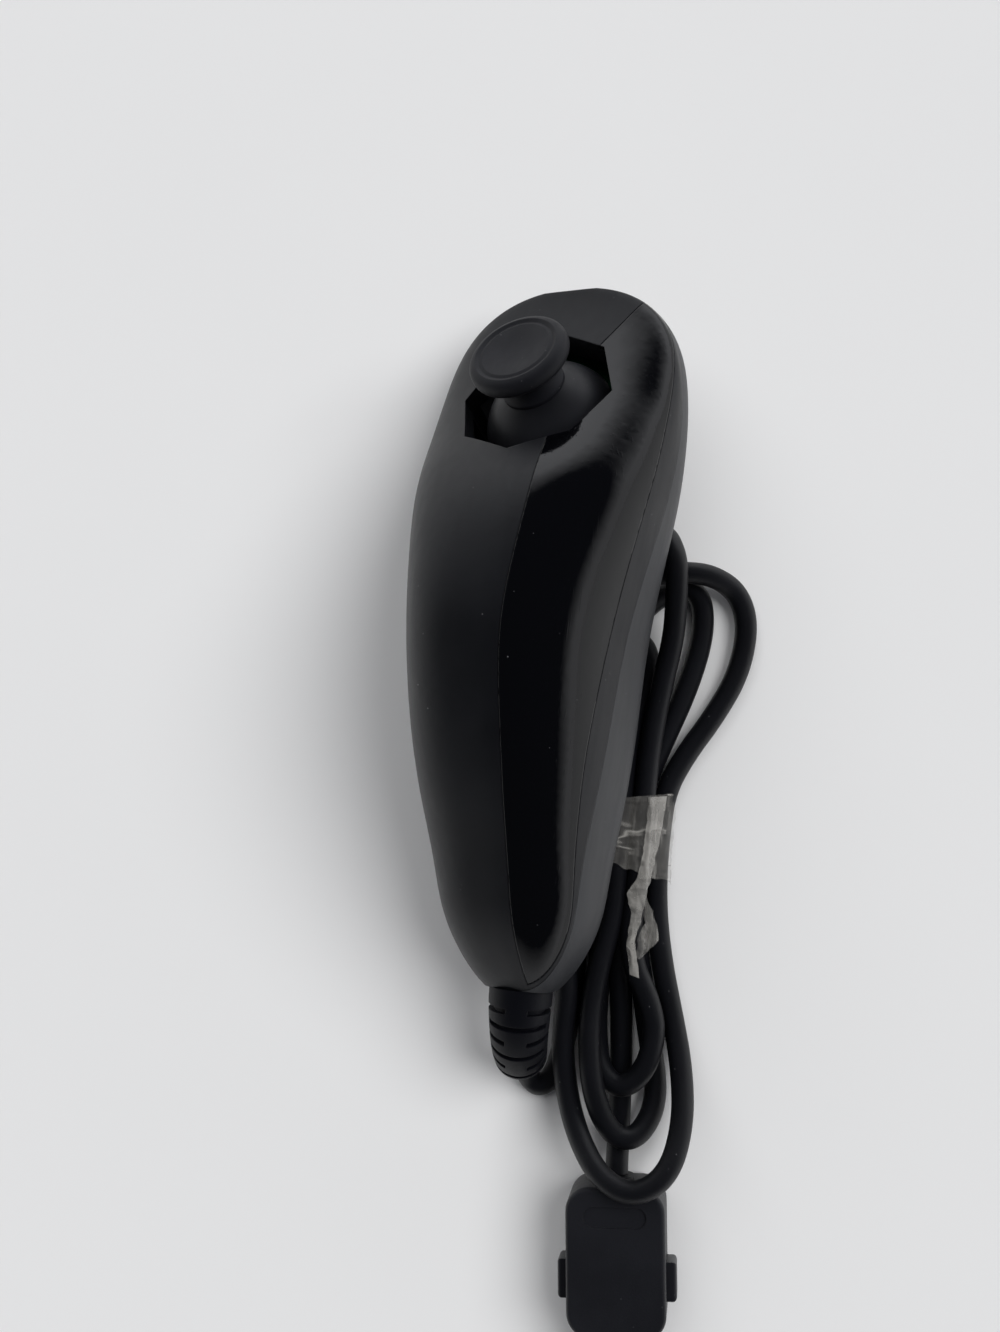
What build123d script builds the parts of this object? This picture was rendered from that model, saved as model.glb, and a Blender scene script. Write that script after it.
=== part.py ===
from build123d import *
import math
import os

os.makedirs("parts", exist_ok=True)

# A one-handed motion controller that lies on a table, its cord tied in a hank beside it.
# Millimetres. The body is drawn along its own axis, Y from the cord end to the nose and Z up
# through the thumb stick, and is then rolled on to its left side, as it rests on the hank.

# Body shell
body_length = 108.0
tail_end = 2.4
tail_round = 16.0
nose_round = 40.0
top_power = 2.9
belly_power = 2.5
wall = 2.0
body_roll = 21.0
tail_place_y = -48.2
origin_shift = (0.6, 0.15, 0)

# Half width, height, depth and seam heights of the body, at equal steps from cord end to nose
half_widths = (9.7, 11.9, 14.5, 15.9, 18.7, 22.4, 29.0)
top_heights = (7.0, 13.7, 21.1, 24.6, 20.6, 10.0, 1.2)
belly_depths = (8.5, 8.5, 8.5, 9.0, 10.4, 13.0, 15.0)
parting_heights = (3.8, 6.5, 7.2, 5.4, 2.0, -0.7, -1.0)
panel_edge_heights = (4.6, 7.7, 11.7, 10.2, 7.7, 3.0, -0.9)
panel_seam_offsets = (3.6, 4.0, 5.2, 5.6, 6.3, 5.3, 8.1)

# Gloss panel let into the upper shell
panel_thickness = 1.1
panel_gap = 0.12
panel_front_inner = (8.0, 97.3)
panel_front_outer = (12.7, 104.5)

# Thumb stick gate and its parts, along the stick's own axis
stick_place_y = 89.3
stick_place_z = 7.8
stick_lean = 30.0
gate_radius = 12.2
gate_setback = 0.5
gate_depth = 8.6
gate_rim = 2.6
gate_collar_wall = 1.6
stick_travel = 16.0
pivot_depth = 7.5
dome_radius = 10.5
dome_wall = 1.0
dome_rim_height = -4.1
neck_radius = 4.8
neck_waist_radius = 4.2
cap_radius = 7.6
cap_height = 9.3
cap_dish = 0.7
cap_thickness = 2.9
shaft_radius = 1.5
run_gap = 0.05
foot_radius = 2.4
foot_reach = 3.9

# Stick module under the gate
module_side = 12.6
module_wall = 0.9
module_above_pivot = 2.3
module_below_pivot = 6.2
module_base_thickness = 0.8
trunnion_radius = 1.0
tilt_yoke_half_length = 5.1
tilt_yoke_half_width = 2.6
tilt_yoke_half_height = 1.6
swing_arch_inner = 3.85
swing_arch_outer = 4.75
swing_arch_half_width = 2.4
cross_pin_radius = 0.7
return_plate_side = 9.0
return_plate_thickness = 0.5
centring_ring_radius = 3.4
centring_ring_width = 1.0
pot_width = 8.0
pot_thickness = 1.8
pot_height = 4.5
stick_board_thickness = 1.0
stick_board_width = 28.0
stick_board_back = -8.0
stick_board_front = 2.0
stick_board_nose = 6.6
stick_board_nose_width = 14.0
stick_post_x = 12.4
stick_post_radius = 1.5

# Front buttons, set in a frame on the slope under the nose
face_low = (93.0, -10.6)
face_high = (106.9, -1.4)
frame_width = 14.6
frame_thickness = 1.2
frame_corner = 2.6
frame_end_margin = 0.2
button_gap = 0.25
z_button_width = 10.6
z_button_length = 6.8
z_button_place = -2.8
z_swing_gap = 0.5
c_button_width = 8.0
c_button_length = 3.6
c_button_place = 4.0
button_corner = 1.6
button_stand = 0.9
button_depth = 2.2
button_flange = 0.7
button_flange_thickness = 0.8
button_edge = 0.35
button_bay_width = 13.6
button_bay_low = -8.4
button_bay_high = 7.3
button_bay_depth = 9.0
hinge_place = -7.3
hinge_depth = -2.5
hinge_pin_radius = 0.55
hinge_knuckle_radius = 1.05
hinge_knuckle_width = 8.0
hinge_ear_width = 1.0
hinge_ear_gap = 0.2
pad_height = 1.2
pad_radius = 1.4
c_pad_shift = -1.2
z_pad_shift = 1.0
button_board_thickness = 0.8
button_board_width = 12.6
button_board_low = -5.6
button_board_high = 4.3

# Boards and fixings inside
board_width = 15.0
board_length = 32.0
board_thickness = 1.2
board_start_y = 30.0
board_height = -1.6
post_radius = 2.0
board_screw_radius = 0.8
boss_radius = 2.7
case_screw_radius = 0.85
case_screw_head_radius = 1.9
case_screw_head_height = 1.4
boss_split_height = -2.4
boss_floor = 1.8
case_screw_length = 8.0
case_screw_places = (23.0, 67.5)
ribbon_width = 5.0
ribbon_thickness = 0.4
ribbon_side = 4.0
socket_place = 3.2
socket_length = 3.6
clamp_place_y = 13.0
clamp_length = 4.0
clamp_width = 9.0
clamp_height = 5.0
clamp_post_depth = 14.0
wire_radius = 0.4
wire_first_run = 4.5
wire_last_run = 5.0
wire_entry_spread = 2.5
wire_entry_rise = 1.2
ribbon_fall_run = 4.0
ribbon_level_run = 5.0
component_width = 1.6
component_length = 0.8
component_height = 0.7
component_lane = 5.2
component_pitch = 3.0

# Cord, its strain relief and its hank
cord_diameter = 3.4
relief_base_radius = 4.7
relief_tip_radius = 4.0
relief_straight = 1.6
relief_bend_radius = 10.0
relief_bend_angle = 62.0
relief_sections = 7
relief_slot_depth = 0.9
relief_slot_width = 0.8
relief_slot_bridge = 3.2
relief_slot_count = 6
relief_neck_radius = 2.6
relief_flange_radius = 3.4
relief_flange_thickness = 1.2

# Hank: four legs side by side and two high at the tied waist, with open loops at both ends
waist_y = -22.0
waist_half_length = 4.0
waist_end_length = 6.0
waist_run = 5.0
leg_first_x = 11.0
leg_pitch = 4.1
leg_low_z = 2.1
leg_high_z = 6.3
outer_top_radius = 9.3
outer_top_y = 8.0
outer_high_radius = 7.0
outer_high_x = 11.7
outer_high_y = 11.5
inner_high_radius = 2.9
inner_high_x = 15.7
inner_high_y = 8.2
inner_low_radius = 4.4
inner_low_x = 15.4
inner_low_y = 6.4
top_low_z = 1.9
top_high_z = 5.85
outer_bottom_radius = 9.0
outer_bottom_x = 15.0
outer_bottom_y = -62.3
outer_bottom_z = 9.7
middle_bottom_radius = 4.8
middle_bottom_x = 14.4
middle_bottom_y = -61.2
middle_bottom_z = 5.8
middle_bottom_lift = 2.3
inner_bottom_radius = 3.6
inner_bottom_x = 16.2
inner_bottom_y = -55.0
inner_bottom_z = 10.1
crossing_x = 22.4
crossing_y = -39.0
crossing_z = 10.3
cord_rest_z = 1.8

# Clear tape round the waist of the hank
tape_thickness = 0.25
tape_gap = 0.15
tape_length = 12.0

# Connector on the cord's far end
plug_width = 14.6
plug_length = 21.6
plug_height = 10.4
plug_corner = 3.6
plug_edge = 0.7
plug_wall = 1.5
plug_turn = 4.5
plug_top_x = 15.4
plug_top_y = -73.9
tongue_width = 11.0
tongue_height = 6.2
tongue_length = 9.6
tongue_slot_width = 8.2
tongue_slot_height = 2.2
tongue_slot_depth = 7.0
contact_count = 6
contact_pitch = 1.2
latch_travel = 0.8
latch_place = 13.9
latch_length = 5.6
latch_height = 4.2
latch_proud = 1.5
latch_depth = 2.9
latch_flange = 0.9
latch_gap = 0.15
latch_arm_thickness = 0.7
latch_arm_height = 1.8
latch_arm_reach = 6.4
latch_hook = 0.6
latch_hook_length = 1.6
plug_entry_z = 4.7
grommet_radius = 2.6
grommet_proud = 0.8
grommet_flange_radius = 3.1
grommet_flange_thickness = 1.2
label_width = 9.2
label_length = 3.0
label_place = 2.7
label_depth = 0.3
plug_board_width = 6.6
plug_board_start = 8.0
plug_board_thickness = 0.8
tongue_inner_length = 2.2
tongue_flange_thickness = 1.8
contact_width = 0.7
contact_thickness = 0.3
contact_back_reach = 3.0
contact_front_gap = 1.0
core_radius = 1.2


def along(profile, y):
    """Value of a profile at y, on a smooth curve through its equal steps."""
    spot = min(max(y / body_length, 0.0), 1.0) * (len(profile) - 1)
    step = min(int(spot), len(profile) - 2)
    share = spot - step
    first = profile[step]
    last = profile[step + 1]
    before = profile[step - 1] if step > 0 else 2 * first - last
    after = profile[step + 2] if step + 2 < len(profile) else 2 * last - first
    slope_first = (last - before) / 2
    slope_last = (after - first) / 2
    rise = share * share * (3 - 2 * share)
    lead = share * (1 - share) ** 2
    trail = share * share * (share - 1)
    return first + (last - first) * rise + slope_first * lead + slope_last * trail


def end_rounding(y, inset):
    """Share of the full section left at y, where the body closes at its two ends."""
    tail = min(max((y - inset) / (tail_round - inset), 0.0), 1.0)
    nose = min(max((body_length - inset - y) / (nose_round - inset), 0.0), 1.0)
    tail_share = math.sqrt(1 - (1 - tail) ** 2)
    nose_share = (1 - (1 - nose) ** 2.2) ** (1 / 2.2)
    return tail_share * nose_share


def section_points(y, inset):
    """Points round the body's section at y, lying inset under its surface."""
    share = end_rounding(y, inset)
    half_width = (along(half_widths, y) - inset) * share
    top = max(along(top_heights, y) - inset, 0.6) * share
    belly = (along(belly_depths, y) - inset) * share
    points = []
    steps = 28
    for step in range(steps):
        angle = 2 * math.pi * step / steps
        side = math.cos(angle)
        rise = math.sin(angle)
        power = 2 / top_power if rise >= 0 else 2 / belly_power
        height = top if rise >= 0 else belly
        x = half_width * math.copysign(abs(side) ** power, side)
        z = height * math.copysign(abs(rise) ** power, rise)
        points.append((x, z))
    return points


def body_form(inset):
    """The body's outer form, or the form lying inset under it."""
    shares = (0, 0.018, 0.05, 0.1, 0.17, 0.26, 0.37, 0.48, 0.59, 0.69, 0.775, 0.845,
              0.9, 0.94, 0.968, 0.986, 0.997)
    first = tail_end + inset
    span = body_length - inset - first
    with BuildPart() as form:
        for share in shares:
            y = first + share * span
            with BuildSketch(Plane.XZ.offset(-y)):
                with BuildLine():
                    Spline(section_points(y, inset), periodic=True)
                make_face()
        loft()
    return form.part


def profile_line(profile, shift):
    """Points along a seam of the body, one for each step of its profile."""
    steps = len(profile) - 1
    overrun = 12.0
    points = [(-overrun, profile[0] + shift)]
    for index, value in enumerate(profile):
        points.append((body_length * index / steps, value + shift))
    points.append((body_length + overrun, profile[-1] + shift))
    return points


def above_seam(profile, shift, reach):
    """A block above a seam that is drawn in the side view, across the whole body."""
    points = profile_line(profile, shift)
    roof = 60.0
    with BuildPart() as block:
        with BuildSketch(Plane.YZ):
            with BuildLine():
                Spline(points)
                Polyline(points[-1], (points[-1][0], roof), (points[0][0], roof), points[0])
            make_face()
        extrude(amount=reach, both=True)
    return block.part


def panel_block(gap):
    """The space of the gloss panel in plan and side view, opened by gap along its edges."""
    seam = [(x, y) for y, x in profile_line(panel_seam_offsets, -gap)]
    reach = 60.0
    slope_x = panel_front_outer[0] - panel_front_inner[0]
    slope_y = panel_front_outer[1] - panel_front_inner[1]
    slope = math.hypot(slope_x, slope_y)
    lift_x = -slope_y / slope * gap
    lift_y = slope_x / slope * gap
    far = reach / slope
    start = (panel_front_inner[0] + lift_x - slope_x * far, panel_front_inner[1] + lift_y - slope_y * far)
    end = (panel_front_outer[0] + lift_x + slope_x * far, panel_front_outer[1] + lift_y + slope_y * far)
    with BuildPart() as block:
        with BuildSketch():
            with BuildLine():
                Spline(seam)
                Polyline(seam[-1], (reach, seam[-1][1]), (reach, seam[0][1]), seam[0])
            make_face()
            with BuildLine():
                Polyline(start, end, (end[0] - reach, end[1] + reach),
                         (start[0] - reach, start[1] + reach), start)
            make_face(mode=Mode.SUBTRACT)
        extrude(amount=reach)
        add(above_seam(panel_edge_heights, -gap, reach), mode=Mode.INTERSECT)
    return block.part


# Frames on the body
lean = math.radians(stick_lean)
stick_axis = (0, math.sin(lean), math.cos(lean))
stick_plane = Plane(origin=(0, stick_place_y, stick_place_z), x_dir=(1, 0, 0), z_dir=stick_axis)
stick_side = Plane(origin=stick_plane.origin, x_dir=(1, 0, 0), z_dir=(0, -math.cos(lean), math.sin(lean)))
stick_line = Axis(stick_plane.origin, stick_axis)

face_run = (face_high[0] - face_low[0], face_high[1] - face_low[1])
face_length = math.hypot(face_run[0], face_run[1])
face_up = (0, face_run[0] / face_length, face_run[1] / face_length)
face_out = (0, face_run[1] / face_length, -face_run[0] / face_length)
face_middle = (0, (face_low[0] + face_high[0]) / 2, (face_low[1] + face_high[1]) / 2)
face_plane = Plane(origin=face_middle, x_dir=(-1, 0, 0), z_dir=face_out)

outer_form = body_form(0)
under_panel_form = body_form(panel_thickness)
cavity_form = body_form(wall)
mid_wall_form = body_form(wall / 2)
upper_space = above_seam(parting_heights, 0, 60.0)


# The octagonal opening of the stick gate, a little behind the stick
with BuildPart() as gate_space:
    with BuildSketch(stick_plane.offset(-gate_depth)):
        with Locations((0, -gate_setback)):
            RegularPolygon(radius=gate_radius, side_count=8)
    extrude(amount=gate_depth + 30.0)


def face_block(width, length, low, high, corner, middle=0.0):
    """A rounded block on the front face, from low to high along the face's own normal."""
    with BuildPart() as block:
        with BuildSketch(face_plane.offset(low)):
            with Locations((0, middle)):
                RectangleRounded(width, length, corner)
        extrude(amount=high - low)
    return block.part


frame_length = face_length + 2 * frame_end_margin


def case_boss(place_y, low, high):
    """A round boss for a case screw, trimmed to the inside of the body."""
    with BuildPart() as boss:
        with BuildSketch(Plane.XY.offset(low)):
            with Locations((0, place_y)):
                Circle(boss_radius)
        extrude(amount=high - low)
        add(mid_wall_form, mode=Mode.INTERSECT)
    return boss.part


lower_bosses = [case_boss(place_y, -30.0, boss_split_height) for place_y in case_screw_places]
upper_bosses = [case_boss(place_y, boss_split_height, 40.0) for place_y in case_screw_places]

board_post_places = [(side * (board_width / 2 - post_radius), board_start_y + along_board)
                     for side in (-1, 1) for along_board in (post_radius, board_length - post_radius)]

with BuildPart() as board_posts:
    with BuildSketch(Plane.XY.offset(-30.0)):
        with Locations(*board_post_places):
            Circle(post_radius)
    extrude(amount=30.0 + board_height)
    add(mid_wall_form, mode=Mode.INTERSECT)

with BuildPart() as lower_shell:
    add(outer_form)
    add(cavity_form, mode=Mode.SUBTRACT)
    add(upper_space, mode=Mode.SUBTRACT)
    add(board_posts.part)
    for boss in lower_bosses:
        add(boss)
    for place_y in case_screw_places:
        floor_z = -along(belly_depths, place_y) * end_rounding(place_y, 0) + boss_floor
        with BuildSketch(Plane.XY.offset(-30.0)):
            with Locations((0, place_y)):
                Circle(case_screw_head_radius + 0.2)
        extrude(amount=30.0 + floor_z, mode=Mode.SUBTRACT)
        with BuildSketch(Plane.XY.offset(-30.0)):
            with Locations((0, place_y)):
                Circle(case_screw_radius + 0.2)
        extrude(amount=30.0 + boss_split_height, mode=Mode.SUBTRACT)
    with BuildSketch(Plane.XY.offset(board_height - 5.0)):
        with Locations(*board_post_places):
            Circle(board_screw_radius)
    extrude(amount=5.0, mode=Mode.SUBTRACT)
    with BuildSketch(Plane.XZ.offset(1.0 - tail_end)):
        Circle(relief_neck_radius + 0.1)
    extrude(amount=-(wall + 2.0), mode=Mode.SUBTRACT)
    add(face_block(frame_width + 0.2, frame_length + 0.2, -frame_thickness - 0.1, 12.0, frame_corner),
        mode=Mode.SUBTRACT)
    add(face_block(button_bay_width, button_bay_high - button_bay_low, -button_bay_depth, 2.0, 1.0,
                   (button_bay_high + button_bay_low) / 2), mode=Mode.SUBTRACT)


with BuildPart() as gate_collar:
    with BuildSketch(stick_plane.offset(-gate_rim)):
        with Locations((0, -gate_setback)):
            RegularPolygon(radius=gate_radius + gate_collar_wall, side_count=8)
    extrude(amount=gate_rim + 12.0)
    add(mid_wall_form, mode=Mode.INTERSECT)

stick_post_bottom = -(pivot_depth + module_below_pivot)

with BuildPart() as stick_posts:
    with BuildSketch(stick_plane.offset(stick_post_bottom)):
        with Locations((-stick_post_x, 0), (stick_post_x, 0)):
            Circle(stick_post_radius)
    extrude(amount=30.0)
    add(mid_wall_form, mode=Mode.INTERSECT)

with BuildPart() as panel_recess:
    add(outer_form)
    add(under_panel_form, mode=Mode.SUBTRACT)
    add(panel_block(panel_gap), mode=Mode.INTERSECT)

with BuildPart() as upper_shell:
    add(outer_form)
    add(cavity_form, mode=Mode.SUBTRACT)
    add(gate_collar.part)
    add(stick_posts.part)
    for boss in upper_bosses:
        add(boss)
    add(upper_space, mode=Mode.INTERSECT)
    add(gate_space.part, mode=Mode.SUBTRACT)
    add(panel_recess.part, mode=Mode.SUBTRACT)
    add(face_block(frame_width + 0.2, frame_length + 0.2, -frame_thickness - 0.1, 12.0, frame_corner),
        mode=Mode.SUBTRACT)
    for place_y in case_screw_places:
        with BuildSketch(Plane.XY.offset(boss_split_height - 1.0)):
            with Locations((0, place_y)):
                Circle(case_screw_radius)
        extrude(amount=case_screw_length, mode=Mode.SUBTRACT)
    with BuildSketch(stick_plane.offset(stick_post_bottom)):
        with Locations((-stick_post_x, 0), (stick_post_x, 0)):
            Circle(board_screw_radius)
    extrude(amount=4.0, mode=Mode.SUBTRACT)

with BuildPart() as gloss_panel:
    add(outer_form)
    add(under_panel_form, mode=Mode.SUBTRACT)
    add(panel_block(0), mode=Mode.INTERSECT)
    add(gate_space.part, mode=Mode.SUBTRACT)


# The stick: cap, dome and shaft tilt together about the pivot
pivot_plane = stick_plane.offset(-pivot_depth)
pivot_side = Plane(origin=pivot_plane.origin, x_dir=stick_side.x_dir, z_dir=stick_side.z_dir)
fore_way = (0, math.cos(lean), -math.sin(lean))
fore_plane = Plane(origin=pivot_plane.origin, x_dir=(1, 0, 0), z_dir=fore_way)
side_plane = Plane(origin=pivot_plane.origin, x_dir=fore_way, z_dir=(1, 0, 0))
dome_seat_height = math.sqrt(dome_radius ** 2 - neck_radius ** 2) - pivot_depth

with BuildPart() as stick_dome:
    with BuildSketch(pivot_side):
        Circle(dome_radius)
        Circle(dome_radius - dome_wall, mode=Mode.SUBTRACT)
        with Locations(((shaft_radius + dome_radius) / 2, (dome_rim_height + pivot_depth + dome_radius) / 2)):
            Rectangle(dome_radius - shaft_radius, dome_radius - dome_rim_height - pivot_depth,
                      mode=Mode.INTERSECT)
    revolve(axis=stick_line)

with BuildPart() as stick_cap:
    with BuildSketch(stick_side):
        with BuildLine():
            axis_foot = (0, dome_seat_height - 0.6)
            neck_foot = (neck_radius, dome_seat_height - 0.6)
            neck_lip = (neck_radius, dome_seat_height + 0.5)
            neck_waist = (neck_waist_radius, dome_seat_height + 1.5)
            skirt_root = (neck_waist_radius + 0.6, cap_height - cap_thickness - 0.4)
            skirt = (cap_radius - 0.9, cap_height - cap_thickness)
            rim = (cap_radius, cap_height - cap_thickness / 2)
            shoulder = (cap_radius - 1.3, cap_height)
            groove_out = (cap_radius - 1.9, cap_height - 0.25)
            groove_in = (cap_radius - 2.4, cap_height - 0.1)
            dish = (0, cap_height - cap_dish)
            Polyline(axis_foot, neck_foot, neck_lip)
            Spline(neck_lip, neck_waist, skirt_root, tangents=((-1, 1), (1, 1)))
            Line(skirt_root, skirt)
            Spline(skirt, rim, shoulder, tangents=((1, 0.3), (-1, 0.25)))
            Polyline(shoulder, groove_out, groove_in)
            Spline(groove_in, dish, tangents=((-1, -0.12), (-1, 0)))
            Line(dish, axis_foot)
        make_face()
    revolve(axis=stick_line)
    with BuildSketch(pivot_side):
        Circle(dome_radius)
        with Locations((dome_radius / 2, 0)):
            Rectangle(dome_radius, 2 * dome_radius, mode=Mode.INTERSECT)
    revolve(axis=stick_line, mode=Mode.SUBTRACT)
    with BuildSketch(stick_plane):
        Circle(shaft_radius)
    extrude(amount=cap_height - 2.6, mode=Mode.SUBTRACT)

with BuildPart() as stick_shaft:
    with BuildSketch(pivot_plane.offset(-foot_reach + 0.6)):
        Circle(shaft_radius)
    extrude(amount=foot_reach - 0.6 + pivot_depth + cap_height - 2.6)
    with BuildSketch(pivot_side):
        Circle(foot_reach)
        with Locations((foot_radius / 2, -foot_reach + 0.5)):
            Rectangle(foot_radius, 1.0, mode=Mode.INTERSECT)
    revolve(axis=stick_line)
    with BuildSketch(fore_plane):
        Circle(cross_pin_radius + run_gap)
    extrude(amount=shaft_radius + 1.0, both=True, mode=Mode.SUBTRACT)

with BuildPart() as cross_pin:
    with BuildSketch(fore_plane):
        Circle(cross_pin_radius)
    extrude(amount=tilt_yoke_half_width - 0.1, both=True)

shaft_sweep = tilt_yoke_half_height * math.tan(math.radians(stick_travel))
window_half_length = shaft_radius / math.cos(math.radians(stick_travel)) + shaft_sweep + 0.2
trunnion_reach = module_side / 2 - 0.1

with BuildPart() as tilt_yoke:
    with BuildSketch(pivot_plane):
        Rectangle(2 * tilt_yoke_half_length, 2 * tilt_yoke_half_width)
        Rectangle(2 * window_half_length, 2 * (shaft_radius + run_gap), mode=Mode.SUBTRACT)
    extrude(amount=tilt_yoke_half_height, both=True)
    with BuildSketch(side_plane):
        Circle(trunnion_radius)
    extrude(amount=trunnion_reach, both=True)
    with BuildSketch(pivot_plane):
        Rectangle(2 * window_half_length, 2 * (shaft_radius + run_gap))
    extrude(amount=2 * trunnion_radius, both=True, mode=Mode.SUBTRACT)
    with BuildSketch(fore_plane):
        Circle(cross_pin_radius)
    extrude(amount=tilt_yoke_half_width + 1.0, both=True, mode=Mode.SUBTRACT)

with BuildPart() as swing_yoke:
    with BuildSketch(side_plane):
        Circle(swing_arch_outer)
        Circle(swing_arch_inner, mode=Mode.SUBTRACT)
        with Locations((0, swing_arch_outer / 2)):
            Rectangle(2 * swing_arch_outer, swing_arch_outer, mode=Mode.INTERSECT)
    extrude(amount=swing_arch_half_width, both=True)
    with BuildSketch(fore_plane):
        Circle(trunnion_radius)
    extrude(amount=trunnion_reach, both=True)
    with BuildSketch(fore_plane):
        Circle(2 * trunnion_radius)
    extrude(amount=swing_arch_inner, both=True, mode=Mode.SUBTRACT)
    with BuildSketch(pivot_plane):
        Rectangle(2 * (shaft_radius + run_gap), 2 * swing_arch_inner - 0.6)
    extrude(amount=swing_arch_outer + 1.0, mode=Mode.SUBTRACT)

with BuildPart() as stick_module:
    with BuildSketch(pivot_plane.offset(-module_below_pivot + module_base_thickness)):
        Rectangle(module_side, module_side)
        Rectangle(module_side - 2 * module_wall, module_side - 2 * module_wall, mode=Mode.SUBTRACT)
    extrude(amount=module_below_pivot - module_base_thickness + module_above_pivot)
    for bearing_plane in (side_plane, fore_plane):
        with BuildSketch(bearing_plane):
            Circle(trunnion_radius + run_gap)
        extrude(amount=module_side, both=True, mode=Mode.SUBTRACT)

with BuildPart() as module_base:
    with BuildSketch(pivot_plane.offset(-module_below_pivot)):
        Rectangle(module_side, module_side)
    extrude(amount=module_base_thickness)

return_plate_top = -foot_reach - run_gap
centring_ring_height = module_below_pivot - module_base_thickness + return_plate_top - return_plate_thickness

with BuildPart() as return_plate:
    with BuildSketch(pivot_plane.offset(return_plate_top - return_plate_thickness)):
        RectangleRounded(return_plate_side, return_plate_side, 1.0)
    extrude(amount=return_plate_thickness)

with BuildPart() as centring_ring:
    with BuildSketch(pivot_plane.offset(-module_below_pivot + module_base_thickness)):
        Circle(centring_ring_radius)
        Circle(centring_ring_radius - centring_ring_width, mode=Mode.SUBTRACT)
    extrude(amount=centring_ring_height)


def potentiometer(bearing_plane):
    """A sensor on the outside of the module's wall, square on a yoke's trunnion."""
    with BuildPart() as sensor:
        with BuildSketch(bearing_plane.offset(module_side / 2)):
            with Locations((0, -pot_height / 2 + 1.5)):
                RectangleRounded(pot_width, pot_height, 0.6)
        extrude(amount=pot_thickness)
    return sensor


tilt_sensor = potentiometer(Plane(origin=pivot_plane.origin, x_dir=side_plane.x_dir, z_dir=side_plane.z_dir))
swing_sensor = potentiometer(Plane(origin=pivot_plane.origin, x_dir=(-1, 0, 0),
                                   z_dir=(0, -math.cos(lean), math.sin(lean))))

with BuildPart() as stick_board:
    with BuildSketch(pivot_plane.offset(-module_below_pivot - stick_board_thickness)):
        with Locations((0, (stick_board_back + stick_board_front) / 2)):
            RectangleRounded(stick_board_width, stick_board_front - stick_board_back, 1.5)
        with Locations((0, (stick_board_back + stick_board_nose) / 2)):
            Rectangle(stick_board_nose_width, stick_board_nose - stick_board_back)
        with Locations((-stick_post_x, 0), (stick_post_x, 0)):
            Circle(board_screw_radius, mode=Mode.SUBTRACT)
    extrude(amount=stick_board_thickness)

with BuildPart() as stick_screws:
    with BuildSketch(pivot_plane.offset(-module_below_pivot - stick_board_thickness)):
        with Locations((-stick_post_x, 0), (stick_post_x, 0)):
            Circle(board_screw_radius)
    extrude(amount=3.6)
    with BuildSketch(pivot_plane.offset(-module_below_pivot - stick_board_thickness)):
        with Locations((-stick_post_x, 0), (stick_post_x, 0)):
            Circle(stick_post_radius)
    extrude(amount=-0.8)

# The two front buttons and what carries them
z_opening_length = z_button_length + button_gap + z_swing_gap
z_opening_place = z_button_place + (z_swing_gap - button_gap) / 2
flange_top = -frame_thickness - 0.2
flange_bottom = flange_top - button_flange_thickness
ear_place_x = hinge_knuckle_width / 2 + hinge_ear_gap + hinge_ear_width / 2
hinge_plane = Plane(origin=face_plane.from_local_coords((0, hinge_place, hinge_depth)),
                    x_dir=face_plane.y_dir, z_dir=face_plane.x_dir)

with BuildPart() as button_frame:
    with BuildSketch(face_plane.offset(-frame_thickness)):
        RectangleRounded(frame_width, frame_length, frame_corner)
        with Locations((0, z_opening_place)):
            RectangleRounded(z_button_width + 2 * button_gap, z_opening_length, button_corner + button_gap,
                             mode=Mode.SUBTRACT)
        with Locations((0, c_button_place)):
            SlotOverall(c_button_width + 2 * button_gap, c_button_length + 2 * button_gap, mode=Mode.SUBTRACT)
    extrude(amount=frame_thickness)
    with BuildSketch(hinge_plane.offset(-ear_place_x - hinge_ear_width / 2)):
        Circle(hinge_knuckle_radius)
        with Locations((0, -hinge_depth / 2 - frame_thickness / 2 - 0.05)):
            Rectangle(2 * hinge_knuckle_radius, -hinge_depth - frame_thickness + 0.1)
    extrude(amount=hinge_ear_width)
    with BuildSketch(hinge_plane.offset(ear_place_x - hinge_ear_width / 2)):
        Circle(hinge_knuckle_radius)
        with Locations((0, -hinge_depth / 2 - frame_thickness / 2 - 0.05)):
            Rectangle(2 * hinge_knuckle_radius, -hinge_depth - frame_thickness + 0.1)
    extrude(amount=hinge_ear_width)
    with BuildSketch(hinge_plane):
        Circle(hinge_pin_radius)
    extrude(amount=frame_width, both=True, mode=Mode.SUBTRACT)

with BuildPart() as c_button:
    with BuildSketch(face_plane.offset(-button_depth)):
        with Locations((0, c_button_place)):
            SlotOverall(c_button_width, c_button_length)
    extrude(amount=button_depth + button_stand)
    fillet(c_button.faces().sort_by(Axis(face_plane.origin, face_out))[-1].edges(), button_edge)
    with BuildSketch(face_plane.offset(flange_bottom)):
        with Locations((0, c_button_place)):
            SlotOverall(c_button_width + 2 * button_flange, c_button_length + 2 * button_flange)
    extrude(amount=button_flange_thickness)

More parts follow.
